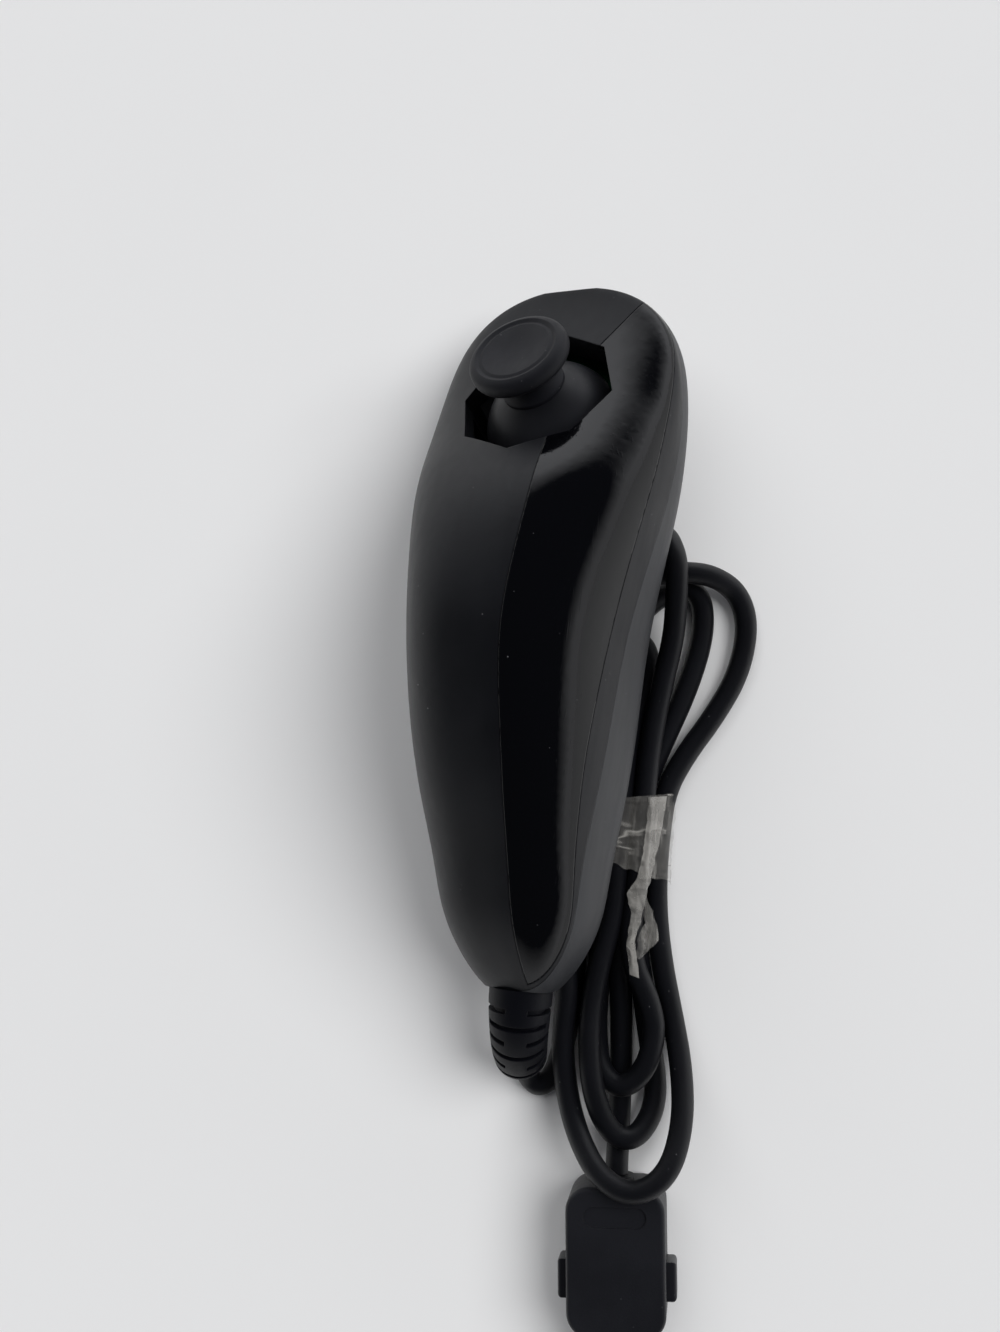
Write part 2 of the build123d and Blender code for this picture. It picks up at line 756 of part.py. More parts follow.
with BuildPart() as z_button:
    with BuildSketch(face_plane.offset(-button_depth)):
        with Locations((0, z_button_place)):
            RectangleRounded(z_button_width, z_button_length, button_corner)
    extrude(amount=button_depth + button_stand)
    fillet(z_button.faces().sort_by(Axis(face_plane.origin, face_out))[-1].edges(), button_edge)
    with BuildSketch(face_plane.offset(flange_bottom)):
        with Locations((0, z_button_place)):
            Rectangle(z_button_width + 2 * button_flange, z_button_length - 2 * button_flange)
        with Locations((0, (z_button_place + hinge_place) / 2)):
            Rectangle(hinge_knuckle_width, z_button_place - hinge_place)
    extrude(amount=button_flange_thickness)
    with BuildSketch(hinge_plane.offset(-hinge_knuckle_width / 2)):
        Circle(hinge_knuckle_radius)
    extrude(amount=hinge_knuckle_width)
    with BuildSketch(hinge_plane):
        Circle(hinge_pin_radius + run_gap)
    extrude(amount=frame_width, both=True, mode=Mode.SUBTRACT)

with BuildPart() as z_hinge_pin:
    with BuildSketch(hinge_plane):
        Circle(hinge_pin_radius)
    extrude(amount=ear_place_x + hinge_ear_width / 2, both=True)

pad_bottom = flange_bottom - pad_height
pad_places = ((c_button_place + c_pad_shift, "c_button_pad"),
              (z_button_place + z_pad_shift, "z_button_pad"))
button_pads = []
for pad_place, pad_name in pad_places:
    with BuildPart() as button_pad:
        with BuildSketch(face_plane.offset(pad_bottom)):
            with Locations((0, pad_place)):
                Circle(pad_radius)
        extrude(amount=pad_height, taper=12)
    button_pads.append((button_pad, pad_name))

with BuildPart() as button_board:
    with BuildSketch(face_plane.offset(pad_bottom - button_board_thickness)):
        with Locations((0, (button_board_low + button_board_high) / 2)):
            RectangleRounded(button_board_width, button_board_high - button_board_low, 1.0)
    extrude(amount=button_board_thickness)

# Boards and chips in the handle
with BuildPart() as main_board:
    with BuildSketch(Plane.XY.offset(board_height)):
        with Locations((0, board_start_y + board_length / 2)):
            RectangleRounded(board_width, board_length, 1.5)
        with Locations(*board_post_places):
            Circle(board_screw_radius, mode=Mode.SUBTRACT)
    extrude(amount=board_thickness)

board_top = board_height + board_thickness


def on_board(width, length, height, place_x, place_y, corner=0.3):
    """A component that stands on the main board."""
    with BuildPart() as component:
        with BuildSketch(Plane.XY.offset(board_top)):
            with Locations((place_x, board_start_y + place_y)):
                RectangleRounded(width, length, corner)
        extrude(amount=height)
    return component


motion_sensor = on_board(5.0, 5.0, 1.4, 0.0, 21.0)
controller_chip = on_board(6.4, 6.4, 1.0, -0.6, 12.0)
cord_socket = on_board(7.2, socket_length, 3.0, 0.0, socket_place)

with BuildPart() as board_components:
    with BuildSketch(Plane.XY.offset(board_top)):
        with Locations((0, board_start_y + board_length / 2)):
            with Locations(*[(side * component_lane, row * component_pitch)
                             for side in (-1, 1) for row in (-2, -1, 0, 1)]):
                Rectangle(component_width, component_length)
    extrude(amount=component_height)

with BuildPart() as board_screws:
    with BuildSketch(Plane.XY.offset(board_height - 4.5)):
        with Locations(*board_post_places):
            Circle(board_screw_radius)
    extrude(amount=4.5 + board_thickness)
    with BuildSketch(Plane.XY.offset(board_top)):
        with Locations(*board_post_places):
            Circle(post_radius - 0.4)
    extrude(amount=1.0)

with BuildPart() as case_screws:
    for place_y in case_screw_places:
        seat_z = -along(belly_depths, place_y) * end_rounding(place_y, 0) + boss_floor
        with BuildSketch(Plane.XY.offset(seat_z - case_screw_head_height)):
            with Locations((0, place_y)):
                Circle(case_screw_head_radius)
        extrude(amount=case_screw_head_height)
        with BuildSketch(Plane.XY.offset(seat_z)):
            with Locations((0, place_y)):
                Circle(case_screw_radius)
        extrude(amount=boss_split_height - 1.0 + case_screw_length - 1.2 - seat_z)
        with BuildSketch(Plane.XY.offset(seat_z - case_screw_head_height)):
            with Locations((0, place_y)):
                RegularPolygon(radius=1.1, side_count=3)
        extrude(amount=0.7, mode=Mode.SUBTRACT)

# Cord inside the tail, its clamp and its wires
cord_radius = cord_diameter / 2

with BuildPart() as inner_cord:
    with BuildSketch(Plane.XZ.offset(-tail_end - wall - relief_flange_thickness)):
        Circle(cord_radius)
    extrude(amount=-(clamp_place_y + clamp_length / 2 - tail_end - wall - relief_flange_thickness))

with BuildPart() as cord_clamp:
    with BuildSketch(Plane.XZ.offset(-clamp_place_y + clamp_length / 2)):
        with Locations((0, clamp_height / 2 - clamp_post_depth / 2)):
            Rectangle(clamp_width, clamp_post_depth)
        Circle(cord_radius, mode=Mode.SUBTRACT)
    extrude(amount=-clamp_length)
    add(cavity_form, mode=Mode.INTERSECT)

wire_start = clamp_place_y + clamp_length / 2
wire_end = board_start_y + socket_place - socket_length / 2
wire_lane = boss_radius + 1.8
wire_step = 1.3

with BuildPart() as cord_wires:
    for side in (-1, 1):
        for row in (0, 1):
            low_z = 0.5 - row * wire_step
            start = (side * 0.8, wire_start - 0.2, low_z)
            bend = (side * wire_lane, wire_start + wire_first_run, low_z)
            turn = (side * wire_lane, wire_end - wire_last_run, low_z)
            finish = (side * (wire_entry_spread - row * wire_step), wire_end + 0.3,
                      board_top + wire_entry_rise)
            with BuildLine() as wire_line:
                Polyline(start, bend, turn, finish)
            with BuildSketch(Plane(origin=start, z_dir=wire_line.line % 0)):
                Circle(wire_radius)
            sweep(path=wire_line.line, transition=Transition.ROUND)
    add(inner_cord.part, mode=Mode.SUBTRACT)
    add(cord_socket.part, mode=Mode.SUBTRACT)

# Flat ribbons between the boards, each ending on the edges that it joins
board_front = board_start_y + board_length
ribbon_sag = board_height - 0.6
stick_board_rear = stick_plane.from_local_coords(
    (0, stick_board_back, -pivot_depth - module_below_pivot - stick_board_thickness / 2))

with BuildPart() as stick_ribbon:
    with BuildSketch(Plane.YZ.offset(ribbon_side)):
        with BuildLine():
            fall_end = board_front + ribbon_fall_run
            middle_line = Polyline((board_front - 0.5, board_top - board_thickness / 2),
                                   (fall_end, ribbon_sag), (fall_end + ribbon_level_run, ribbon_sag),
                                   (stick_board_rear.Y + 0.4, stick_board_rear.Z - 0.2))
        trace(middle_line, ribbon_thickness)
    extrude(amount=ribbon_width)
    add(main_board.part, mode=Mode.SUBTRACT)
    add(stick_board.part, mode=Mode.SUBTRACT)

button_board_back = pad_bottom - button_board_thickness
face_side = Plane(origin=face_plane.origin, x_dir=face_up, z_dir=(-1, 0, 0))
stick_board_tip = face_side.to_local_coords(stick_plane.from_local_coords(
    (0, stick_board_nose - 0.4, -pivot_depth - module_below_pivot - stick_board_thickness / 2)))

with BuildPart() as button_ribbon:
    with BuildSketch(face_side.offset(-ribbon_width / 2)):
        with BuildLine():
            strip_height = button_board_back - ribbon_thickness / 2
            strip_line = Polyline((stick_board_tip.X, stick_board_tip.Y),
                                  (button_board_low - 0.6, strip_height),
                                  (button_board_low + 1.6, strip_height))
        trace(strip_line, ribbon_thickness)
    extrude(amount=ribbon_width)
    add(stick_board.part, mode=Mode.SUBTRACT)

# The body's pose on the table: rolled on its axis until the lower shell rests at the height zero
rolled_shell = lower_shell.part.moved(Location((0, 0, 0), (0, -body_roll, 0)))
axis_height = -rolled_shell.bounding_box().min.Z
table_pose = Location(origin_shift)
resting_pose = table_pose * Location((0, tail_place_y, axis_height), (0, -body_roll, 0))

# Strain relief: a ribbed sleeve that leaves the tail straight and bends down to the table
relief_y = tail_place_y + tail_end
bend_start_y = relief_y - relief_straight


def relief_place(share):
    """Centre and direction of the strain relief at a share of its bend."""
    angle = math.radians(relief_bend_angle) * share
    y = bend_start_y - relief_bend_radius * math.sin(angle)
    z = axis_height - relief_bend_radius * (1 - math.cos(angle))
    return Plane(origin=(0, y, z), x_dir=(1, 0, 0), z_dir=(0, -math.cos(angle), -math.sin(angle)))


def relief_radius(share):
    """Radius of the strain relief at a share of its bend."""
    return relief_base_radius + (relief_tip_radius - relief_base_radius) * share


with BuildPart() as strain_relief:
    for step in range(relief_sections):
        share = step / (relief_sections - 1)
        with BuildSketch(relief_place(share)):
            Circle(relief_radius(share))
    loft()
    with BuildSketch(Plane.XZ.offset(-relief_y)):
        with Locations((0, axis_height)):
            Circle(relief_base_radius)
    extrude(amount=relief_straight)
    with BuildSketch(Plane.XZ.offset(-relief_y)):
        with Locations((0, axis_height)):
            Circle(relief_neck_radius)
    extrude(amount=-wall)
    with BuildSketch(Plane.XZ.offset(-relief_y - wall)):
        with Locations((0, axis_height)):
            Circle(relief_flange_radius)
    extrude(amount=-relief_flange_thickness)
    for slot in range(relief_slot_count):
        share = (slot + 0.6) / relief_slot_count
        with BuildSketch(relief_place(share)):
            Circle(relief_base_radius + 1.0)
            Circle(relief_radius(share) - relief_slot_depth, mode=Mode.SUBTRACT)
            Rectangle(relief_slot_bridge, 3 * relief_base_radius, rotation=90 * (slot % 2),
                      mode=Mode.SUBTRACT)
        extrude(amount=relief_slot_width / 2, both=True, mode=Mode.SUBTRACT)

# Cord routes on the table, as runs and bends


def bend_radii(points):
    """Largest even bend at each inner point of a route that still leaves its runs some length."""
    radii = []
    for before, here, after in zip(points, points[1:], points[2:]):
        arrive = Vector(*here) - Vector(*before)
        leave = Vector(*after) - Vector(*here)
        half_turn = math.radians(arrive.get_angle(leave)) / 2
        radii.append(0.45 * min(arrive.length, leave.length) / math.tan(half_turn))
    return radii


def cord_tube(points):
    """A round cord along a route of straight runs joined by bends."""
    radii = bend_radii(points)
    with BuildPart() as tube:
        with BuildLine() as route:
            FilletPolyline(*points, radius=radii)
        with BuildSketch(Plane(origin=points[0], z_dir=route.line % 0)):
            Circle(cord_radius)
        sweep(path=route.wires()[0])
    length = route.wires()[0].length
    full = math.pi * cord_radius ** 2 * length
    print("cord run", round(length, 1), "bends", [round(radius, 1) for radius in radii],
          "volume share", round(tube.part.volume / full, 4))
    return tube


relief_tip = relief_place(1.0).origin
tip_way = relief_place(1.0).z_dir
fall = (relief_tip.Z - cord_rest_z) / -tip_way.Z
touch_down = relief_tip + tip_way * fall
waist_start_y = waist_y - waist_end_length
legs_x = [leg_first_x + leg_pitch * column for column in range(4)]

lead_points = [(relief_tip.X, relief_tip.Y, relief_tip.Z), (touch_down.X, touch_down.Y, cord_rest_z),
               (6.4, -55.2, cord_rest_z), (7.8, -47.0, cord_rest_z), (10.0, -38.5, leg_low_z),
               (legs_x[0], waist_start_y - waist_run, leg_low_z), (legs_x[0], waist_start_y, leg_low_z)]
cord_lead = cord_tube(lead_points)

plug_way = (math.sin(math.radians(plug_turn)), -math.cos(math.radians(plug_turn)))
plug_plane = Plane(origin=(plug_top_x, plug_top_y, 0), x_dir=(plug_way[1], -plug_way[0], 0), z_dir=(0, 0, 1))
entry = plug_plane.from_local_coords((0, -grommet_proud, plug_entry_z))
entry_run = plug_plane.from_local_coords((0, -grommet_proud - waist_run, plug_entry_z))

tail_points = [(legs_x[2], waist_start_y, leg_low_z),
               (legs_x[2], waist_start_y - waist_run, leg_low_z),
               (17.4, -40.0, cord_rest_z), (15.2, -47.6, cord_rest_z), (14.6, -55.0, cord_rest_z),
               (14.8, -62.4, cord_rest_z), (entry_run.X, entry_run.Y, entry_run.Z),
               (entry.X, entry.Y, entry.Z)]
cord_tail = cord_tube(tail_points)

# The hank's own route: straight legs through the waist, and loops at both ends
up_way = Vector(0, 1, 0)
down_way = Vector(0, -1, 0)
right_way = Vector(1, 0, 0)
left_way = Vector(-1, 0, 0)


def leg(column, height, way, distance=0.0):
    """A key place on a leg of the hank at a distance from the middle of its waist."""
    return (Vector(legs_x[column], waist_y + distance, height), way)


def top_loop(left_x, radius, place_y, height):
    """Key places of a loop at the head end, gone round from left to right."""
    middle_x = left_x + radius
    return [(Vector(left_x, place_y, height), up_way),
            (Vector(middle_x, place_y + radius, height), right_way),
            (Vector(middle_x + radius, place_y, height), down_way)]


def bottom_loop(middle_x, radius, place_y, height, lift=0.0):
    """Key places of a loop at the cord end, gone round from right to left."""
    return [(Vector(middle_x + radius, place_y, height), down_way),
            (Vector(middle_x, place_y - radius, height + lift), left_way),
            (Vector(middle_x - radius, place_y, height), up_way)]


def rising(column, height):
    """A leg that runs towards the head end through the waist."""
    return [leg(column, height, up_way, -waist_half_length), leg(column, height, up_way, waist_half_length)]


def falling(column, height):
    """A leg that runs towards the cord end through the waist."""
    return [leg(column, height, down_way, waist_half_length),
            leg(column, height, down_way, -waist_half_length)]


hank_keys = [leg(0, leg_low_z, up_way, -waist_end_length),
             leg(0, leg_low_z, up_way, waist_half_length)]
hank_keys += top_loop(legs_x[0], outer_top_radius, outer_top_y, top_low_z)
hank_keys += falling(3, leg_low_z)
hank_keys += bottom_loop(outer_bottom_x, outer_bottom_radius, outer_bottom_y, outer_bottom_z)
hank_keys += rising(0, leg_high_z)
hank_keys += top_loop(outer_high_x, outer_high_radius, outer_high_y, top_high_z)
hank_keys += falling(3, leg_high_z)
hank_keys += [(Vector(crossing_x, crossing_y, crossing_z), down_way)]
hank_keys += bottom_loop(inner_bottom_x, inner_bottom_radius, inner_bottom_y, inner_bottom_z)
hank_keys += rising(1, leg_high_z)
hank_keys += top_loop(inner_high_x, inner_high_radius, inner_high_y, top_high_z)
hank_keys += falling(2, leg_high_z)
hank_keys += bottom_loop(middle_bottom_x, middle_bottom_radius, middle_bottom_y, middle_bottom_z,
                         middle_bottom_lift)
hank_keys += rising(1, leg_low_z)
hank_keys += top_loop(inner_low_x, inner_low_radius, inner_low_y, top_low_z)
hank_keys += [leg(2, leg_low_z, down_way, waist_half_length),
              leg(2, leg_low_z, down_way, -waist_end_length)]


def join(start, start_way, end, end_way):
    """A straight run, or two arcs joined smoothly, from one key place to the next."""
    chord = end - start
    if chord.normalized().dot(start_way) > 0.99999:
        Line(start, end)
        return
    bend = 2 * (1 - start_way.dot(end_way))
    drift = 2 * chord.dot(start_way + end_way)
    if bend < 1e-9:
        reach = chord.dot(chord) / drift
    else:
        reach = (math.sqrt(drift ** 2 + 4 * bend * chord.dot(chord)) - drift) / (2 * bend)
    first = start + start_way * reach
    last = end - end_way * reach
    middle = (first + last) * 0.5
    TangentArc(start, middle, tangent=start_way)
    TangentArc(middle, end, tangent=(last - first).normalized())


with BuildPart() as cord_hank:
    with BuildLine() as hank_line:
        for here, after in zip(hank_keys, hank_keys[1:]):
            join(*here, *after)
    with BuildSketch(Plane(origin=hank_keys[0][0], z_dir=up_way)):
        Circle(cord_radius)
    sweep(path=hank_line.wires()[0])

hank_wire = hank_line.wires()[0]
hank_samples = int(hank_wire.length)
hank_points = [hank_wire.position_at(step / hank_samples) for step in range(hank_samples + 1)]
near_steps = int(3 * cord_diameter)
hank_gap = min((first - second).length for index, first in enumerate(hank_points)
               for second in hank_points[index + near_steps:]) - cord_diameter
print("hank length", round(hank_wire.length, 1), "least gap to itself", round(hank_gap, 2), "volume share",
      round(cord_hank.part.volume / (math.pi * cord_radius ** 2 * hank_wire.length), 4))

with BuildPart() as tape_tie:
    tape_width = 3 * leg_pitch + cord_diameter + 2 * tape_gap
    tape_low = leg_low_z - cord_radius - tape_gap
    tape_high = leg_high_z + cord_radius + tape_gap
    tape_corner = cord_radius
    with BuildSketch(Plane.XZ.offset(-waist_y - tape_length / 2)):
        with Locations((leg_first_x + 1.5 * leg_pitch, (tape_low + tape_high) / 2)):
            RectangleRounded(tape_width + 2 * tape_thickness, tape_high - tape_low + 2 * tape_thickness,
                             tape_corner + tape_thickness)
            RectangleRounded(tape_width, tape_high - tape_low, tape_corner, mode=Mode.SUBTRACT)
    extrude(amount=tape_length)
    print("tape from", round(tape_low - tape_thickness, 2))

# Connector on the far end
plug_middle = plug_height / 2
inner_half_width = plug_width / 2 - plug_wall


def plug_block(width, start, length, low, high, place_x=0.0):
    """A plain block in the connector's own frame, from start along its length."""
    with BuildPart() as block:
        with BuildSketch(plug_plane.offset(low)):
            with Locations((place_x, start + length / 2)):
                Rectangle(width, length)
        extrude(amount=high - low)
    return block.part


def round_block(radius, start, length):
    """A round bar on the line of the cord's entry."""
    middle = plug_plane.from_local_coords((0, start, plug_entry_z))
    with BuildPart() as bar:
        with BuildSketch(Plane(origin=middle, x_dir=(0, 0, 1), z_dir=(*plug_way, 0))):
            Circle(radius)
        extrude(amount=length)
    return bar.part


with BuildPart() as plug_housing:
    with BuildSketch(plug_plane):
        with Locations((0, plug_length / 2)):
            RectangleRounded(plug_width, plug_length, plug_corner)
    extrude(amount=plug_height)
    end_faces = plug_housing.faces().sort_by(Axis.Z)
    fillet(end_faces[0].edges() + end_faces[-1].edges(), plug_edge)
    with BuildSketch(plug_plane.offset(plug_wall)):
        with Locations((0, plug_length / 2)):
            RectangleRounded(plug_width - 2 * plug_wall, plug_length - 2 * plug_wall, plug_corner - plug_wall)
    extrude(amount=plug_height - 2 * plug_wall, mode=Mode.SUBTRACT)
    add(round_block(grommet_radius, -1.0, plug_wall + 1.0), mode=Mode.SUBTRACT)
    add(plug_block(tongue_width, plug_length - plug_corner, plug_corner + 1.0,
                   plug_middle - tongue_height / 2, plug_middle + tongue_height / 2), mode=Mode.SUBTRACT)
    add(plug_block(plug_width + 2.0, latch_place - latch_length / 2 - latch_gap, latch_length + 2 * latch_gap,
                   plug_middle - latch_height / 2 - latch_gap, plug_middle + latch_height / 2 + latch_gap),
        mode=Mode.SUBTRACT)

with BuildPart() as plug_lower_shell:
    add(plug_housing.part)
    add(plug_block(3 * plug_width, -plug_length, 3 * plug_length, plug_middle, 2 * plug_height),
        mode=Mode.SUBTRACT)

with BuildPart() as plug_upper_shell:
    add(plug_housing.part)
    add(plug_block(3 * plug_width, -plug_length, 3 * plug_length, -1.0, plug_middle), mode=Mode.SUBTRACT)
    with BuildSketch(plug_plane.offset(plug_height - label_depth)):
        with Locations((0, label_place + label_length / 2)):
            SlotOverall(label_width, label_length)
    extrude(amount=1.0, mode=Mode.SUBTRACT)

contacts_low = plug_middle
tongue_back = plug_length - plug_wall - tongue_inner_length
contacts_start = tongue_back - contact_back_reach
contacts_end = plug_length + tongue_length - contact_front_gap

with BuildPart() as plug_contacts:
    with BuildSketch(plug_plane.offset(contacts_low)):
        with Locations((0, (contacts_start + contacts_end) / 2)):
            with GridLocations(contact_pitch, 1, contact_count, 1):
                Rectangle(contact_width, contacts_end - contacts_start)
    extrude(amount=contact_thickness)

with BuildPart() as plug_tongue:
    tongue_low = plug_middle - tongue_height / 2
    tongue_high = plug_middle + tongue_height / 2
    add(plug_block(tongue_width, tongue_back, plug_length + tongue_length - tongue_back,
                   tongue_low, tongue_high))
    add(plug_block(plug_width - 2 * plug_corner, tongue_back + tongue_inner_length - tongue_flange_thickness,
                   tongue_flange_thickness, plug_wall, plug_height - plug_wall))
    add(plug_block(tongue_slot_width, plug_length + tongue_length - tongue_slot_depth,
                   tongue_slot_depth + 1.0, contacts_low, contacts_low + tongue_slot_height),
        mode=Mode.SUBTRACT)
    groove_depth = latch_arm_thickness + latch_travel + latch_gap
    for side in (-1, 1):
        add(plug_block(2 * groove_depth, tongue_back - 1.0,
                       plug_length + latch_arm_reach + latch_gap - tongue_back + 1.0,
                       plug_middle - latch_arm_height / 2 - latch_gap,
                       plug_middle + latch_arm_height / 2 + latch_gap, side * tongue_width / 2),
            mode=Mode.SUBTRACT)
    add(plug_contacts.part, mode=Mode.SUBTRACT)

with BuildPart() as plug_board:
    add(plug_block(plug_board_width, plug_board_start, tongue_back - plug_board_start,
                   plug_middle - plug_board_thickness, plug_middle))

with BuildPart() as plug_grommet:
    add(round_block(grommet_radius, -grommet_proud, plug_wall + grommet_proud))
    add(round_block(grommet_flange_radius, plug_wall, grommet_flange_thickness))

with BuildPart() as plug_core:
    core_start = plug_wall + grommet_flange_thickness
    add(round_block(core_radius, core_start, plug_board_start - core_start))


def latch(side):
    """A squeeze button with its inner flange, its arm along the tongue and the arm's hook."""
    low = plug_middle - latch_height / 2
    high = plug_middle + latch_height / 2
    outer = plug_width / 2 + latch_proud
    inner = inner_half_width - latch_gap
    arm_outer = tongue_width / 2
    with BuildPart() as piece:
        add(plug_block(latch_depth + latch_proud, latch_place - latch_length / 2, latch_length, low, high,
                       side * (outer - (latch_depth + latch_proud) / 2)))
        face = piece.faces().sort_by(Axis(plug_plane.origin, plug_plane.x_dir))[-1 if side > 0 else 0]
        fillet(face.edges(), 0.6)
        add(plug_block(inner - (plug_width / 2 - latch_depth), latch_place - latch_length / 2 - latch_flange,
                       latch_length + 2 * latch_flange, low - latch_flange + 0.1, high + latch_flange - 0.1,
                       side * (inner + plug_width / 2 - latch_depth) / 2))
        add(plug_block(latch_arm_thickness, latch_place, plug_length + latch_arm_reach - latch_place,
                       plug_middle - latch_arm_height / 2, plug_middle + latch_arm_height / 2,
                       side * (arm_outer - latch_arm_thickness / 2)))
        add(plug_block(latch_hook + 0.1, plug_length + latch_arm_reach - latch_hook_length, latch_hook_length,
                       plug_middle - latch_arm_height / 2, plug_middle + latch_arm_height / 2,
                       side * (arm_outer + latch_hook / 2 - 0.05)))
    return piece


latch_left = latch(1)
latch_right = latch(-1)

# Pieces of the body, each saved where it rests on the table
body_pieces = {
    "lower_shell": lower_shell, "upper_shell": upper_shell, "gloss_panel": gloss_panel,
    "stick_cap": stick_cap, "stick_dome": stick_dome, "stick_shaft": stick_shaft,
    "tilt_yoke": tilt_yoke, "cross_pin": cross_pin, "swing_yoke": swing_yoke,
    "stick_module": stick_module, "module_base": module_base, "return_plate": return_plate,
    "centring_ring": centring_ring, "tilt_sensor": tilt_sensor, "swing_sensor": swing_sensor,
    "stick_board": stick_board, "stick_screws": stick_screws, "button_frame": button_frame,
    "c_button": c_button, "z_button": z_button, "z_hinge_pin": z_hinge_pin, "button_board": button_board,
    "main_board": main_board, "motion_sensor": motion_sensor, "controller_chip": controller_chip,
    "cord_socket": cord_socket, "board_components": board_components, "board_screws": board_screws,
    "case_screws": case_screws, "inner_cord": inner_cord, "cord_clamp": cord_clamp,
    "cord_wires": cord_wires, "stick_ribbon": stick_ribbon, "button_ribbon": button_ribbon,
}
for button_pad, pad_name in button_pads:
    body_pieces[pad_name] = button_pad

for piece_name, piece in body_pieces.items():
    piece.part.label = piece_name
    export_step(piece.part.moved(resting_pose), f"parts/{piece_name}.step")

# Pieces that are drawn on the table itself
table_pieces = {
    "strain_relief": strain_relief, "cord_lead": cord_lead, "cord_hank": cord_hank, "cord_tail": cord_tail,
    "tape_tie": tape_tie, "plug_lower_shell": plug_lower_shell, "plug_upper_shell": plug_upper_shell,
    "plug_tongue": plug_tongue, "plug_contacts": plug_contacts, "plug_board": plug_board,
    "plug_grommet": plug_grommet, "plug_core": plug_core, "latch_left": latch_left,
    "latch_right": latch_right,
}
for piece_name, piece in table_pieces.items():
    piece.part.label = piece_name
    export_step(piece.part.moved(table_pose), f"parts/{piece_name}.step")
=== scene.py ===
import math

import bpy
from mathutils import Matrix, Vector, noise


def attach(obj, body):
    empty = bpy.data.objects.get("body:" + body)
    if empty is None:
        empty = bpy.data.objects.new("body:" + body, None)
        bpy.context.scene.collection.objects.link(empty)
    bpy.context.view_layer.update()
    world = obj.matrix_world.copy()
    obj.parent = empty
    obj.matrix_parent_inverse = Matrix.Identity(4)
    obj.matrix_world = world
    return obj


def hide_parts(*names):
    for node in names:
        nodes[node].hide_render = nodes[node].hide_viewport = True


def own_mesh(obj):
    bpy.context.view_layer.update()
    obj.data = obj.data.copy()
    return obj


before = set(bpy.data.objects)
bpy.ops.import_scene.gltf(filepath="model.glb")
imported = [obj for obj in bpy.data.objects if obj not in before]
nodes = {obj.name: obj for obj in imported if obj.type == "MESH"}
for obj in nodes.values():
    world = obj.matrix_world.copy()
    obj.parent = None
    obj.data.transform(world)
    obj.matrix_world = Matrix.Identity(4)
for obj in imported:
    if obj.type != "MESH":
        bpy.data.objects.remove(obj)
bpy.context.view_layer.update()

# Everything is placed in millimetres on the table and moved by the model's own shift
MM = 0.001
SHIFT = Vector((0.6, 0.15, 0.0))
collection = bpy.context.scene.collection


def place(x, y, z):
    """A place on the table, in metres."""
    return (Vector((x, y, z)) + SHIFT) * MM


def link(name, data, body="case"):
    """A new object that rides on a body."""
    made = bpy.data.objects.new(name, data)
    collection.objects.link(made)
    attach(made, body)
    return made


# Camera at the photograph's place, above the table
CAMERA_LENS = 40.54
CAMERA_SENSOR = 36.0
CAMERA_SPOT = (25.77, -16.85, 236.1)
camera_right = Vector((0.9878, 0.0729, -0.1379))
camera_up = Vector((-0.0608, 0.9940, 0.0904))
camera_back = Vector((0.1437, -0.0809, 0.9863))
camera_data = bpy.data.cameras.new("camera")
camera_data.lens = CAMERA_LENS
camera_data.sensor_width = CAMERA_SENSOR
camera = bpy.data.objects.new("camera", camera_data)
collection.objects.link(camera)
camera_turn = Matrix((camera_right, camera_up, camera_back)).transposed()
camera.matrix_world = Matrix.Translation(place(*CAMERA_SPOT)) @ camera_turn.to_4x4()
bpy.context.scene.camera = camera

# Cord: its diameter in millimetres
CORD_DIAMETER = 3.4

# Route of the cord: control points of one smooth curve, in millimetres on the table
lead = [
    (0.0, -56.2, 8.3), (0.1, -58.5, 4.1), (0.8, -60.8, 2.0), (2.5, -62.0, 1.8), (4.5, -60.4, 1.8),
    (5.6, -56.6, 1.8), (6.3, -52.0, 1.8), (6.8, -46.6, 1.8), (6.6, -41.0, 1.8), (7.1, -35.0, 1.8),
    (7.8, -28.5, 1.9),
]
first_top_loop = [
    (7.9, -22.0, 1.9), (7.2, -14.0, 1.8), (6.2, -5.0, 1.8), (6.0, 3.0, 1.8), (7.4, 10.4, 1.8),
    (10.6, 15.6, 2.8), (15.0, 17.8, 5.4), (19.6, 18.3, 5.6), (24.2, 18.2, 4.4), (28.2, 16.0, 1.9),
    (30.0, 11.0, 1.8), (29.0, 3.4, 1.8), (25.5, -3.6, 1.8), (21.6, -9.6, 1.8), (18.9, -15.4, 1.9),
    (18.4, -22.0, 1.9), (18.3, -28.4, 1.9),
]
outer_end_loop = [
    (18.8, -35.0, 2.0), (20.1, -42.0, 2.2), (22.0, -49.0, 2.4), (24.0, -56.5, 4.4),
    (24.8, -64.0, 8.4), (23.2, -70.8, 12.2), (18.4, -74.2, 12.9), (13.2, -72.4, 11.6),
    (9.2, -67.4, 7.6), (6.8, -60.8, 5.6), (5.8, -53.4, 5.4), (6.2, -46.4, 5.4), (4.8, -40.0, 5.0),
    (3.6, -34.0, 3.0),
]
second_top_loop = [
    (4.3, -27.0, 1.9), (4.3, -20.0, 1.9), (3.6, -13.0, 1.8), (2.6, -5.0, 1.8), (2.5, 4.0, 1.8),
    (4.3, 13.0, 1.8), (7.4, 20.2, 1.8), (11.6, 24.6, 2.6), (16.2, 24.6, 5.8), (18.6, 20.2, 9.0),
    (18.9, 14.6, 8.8), (18.8, 8.0, 5.8), (17.4, 0.6, 5.4), (16.3, -8.0, 5.4), (15.9, -15.0, 5.4),
    (15.8, -22.0, 5.4), (15.7, -29.0, 5.4),
]
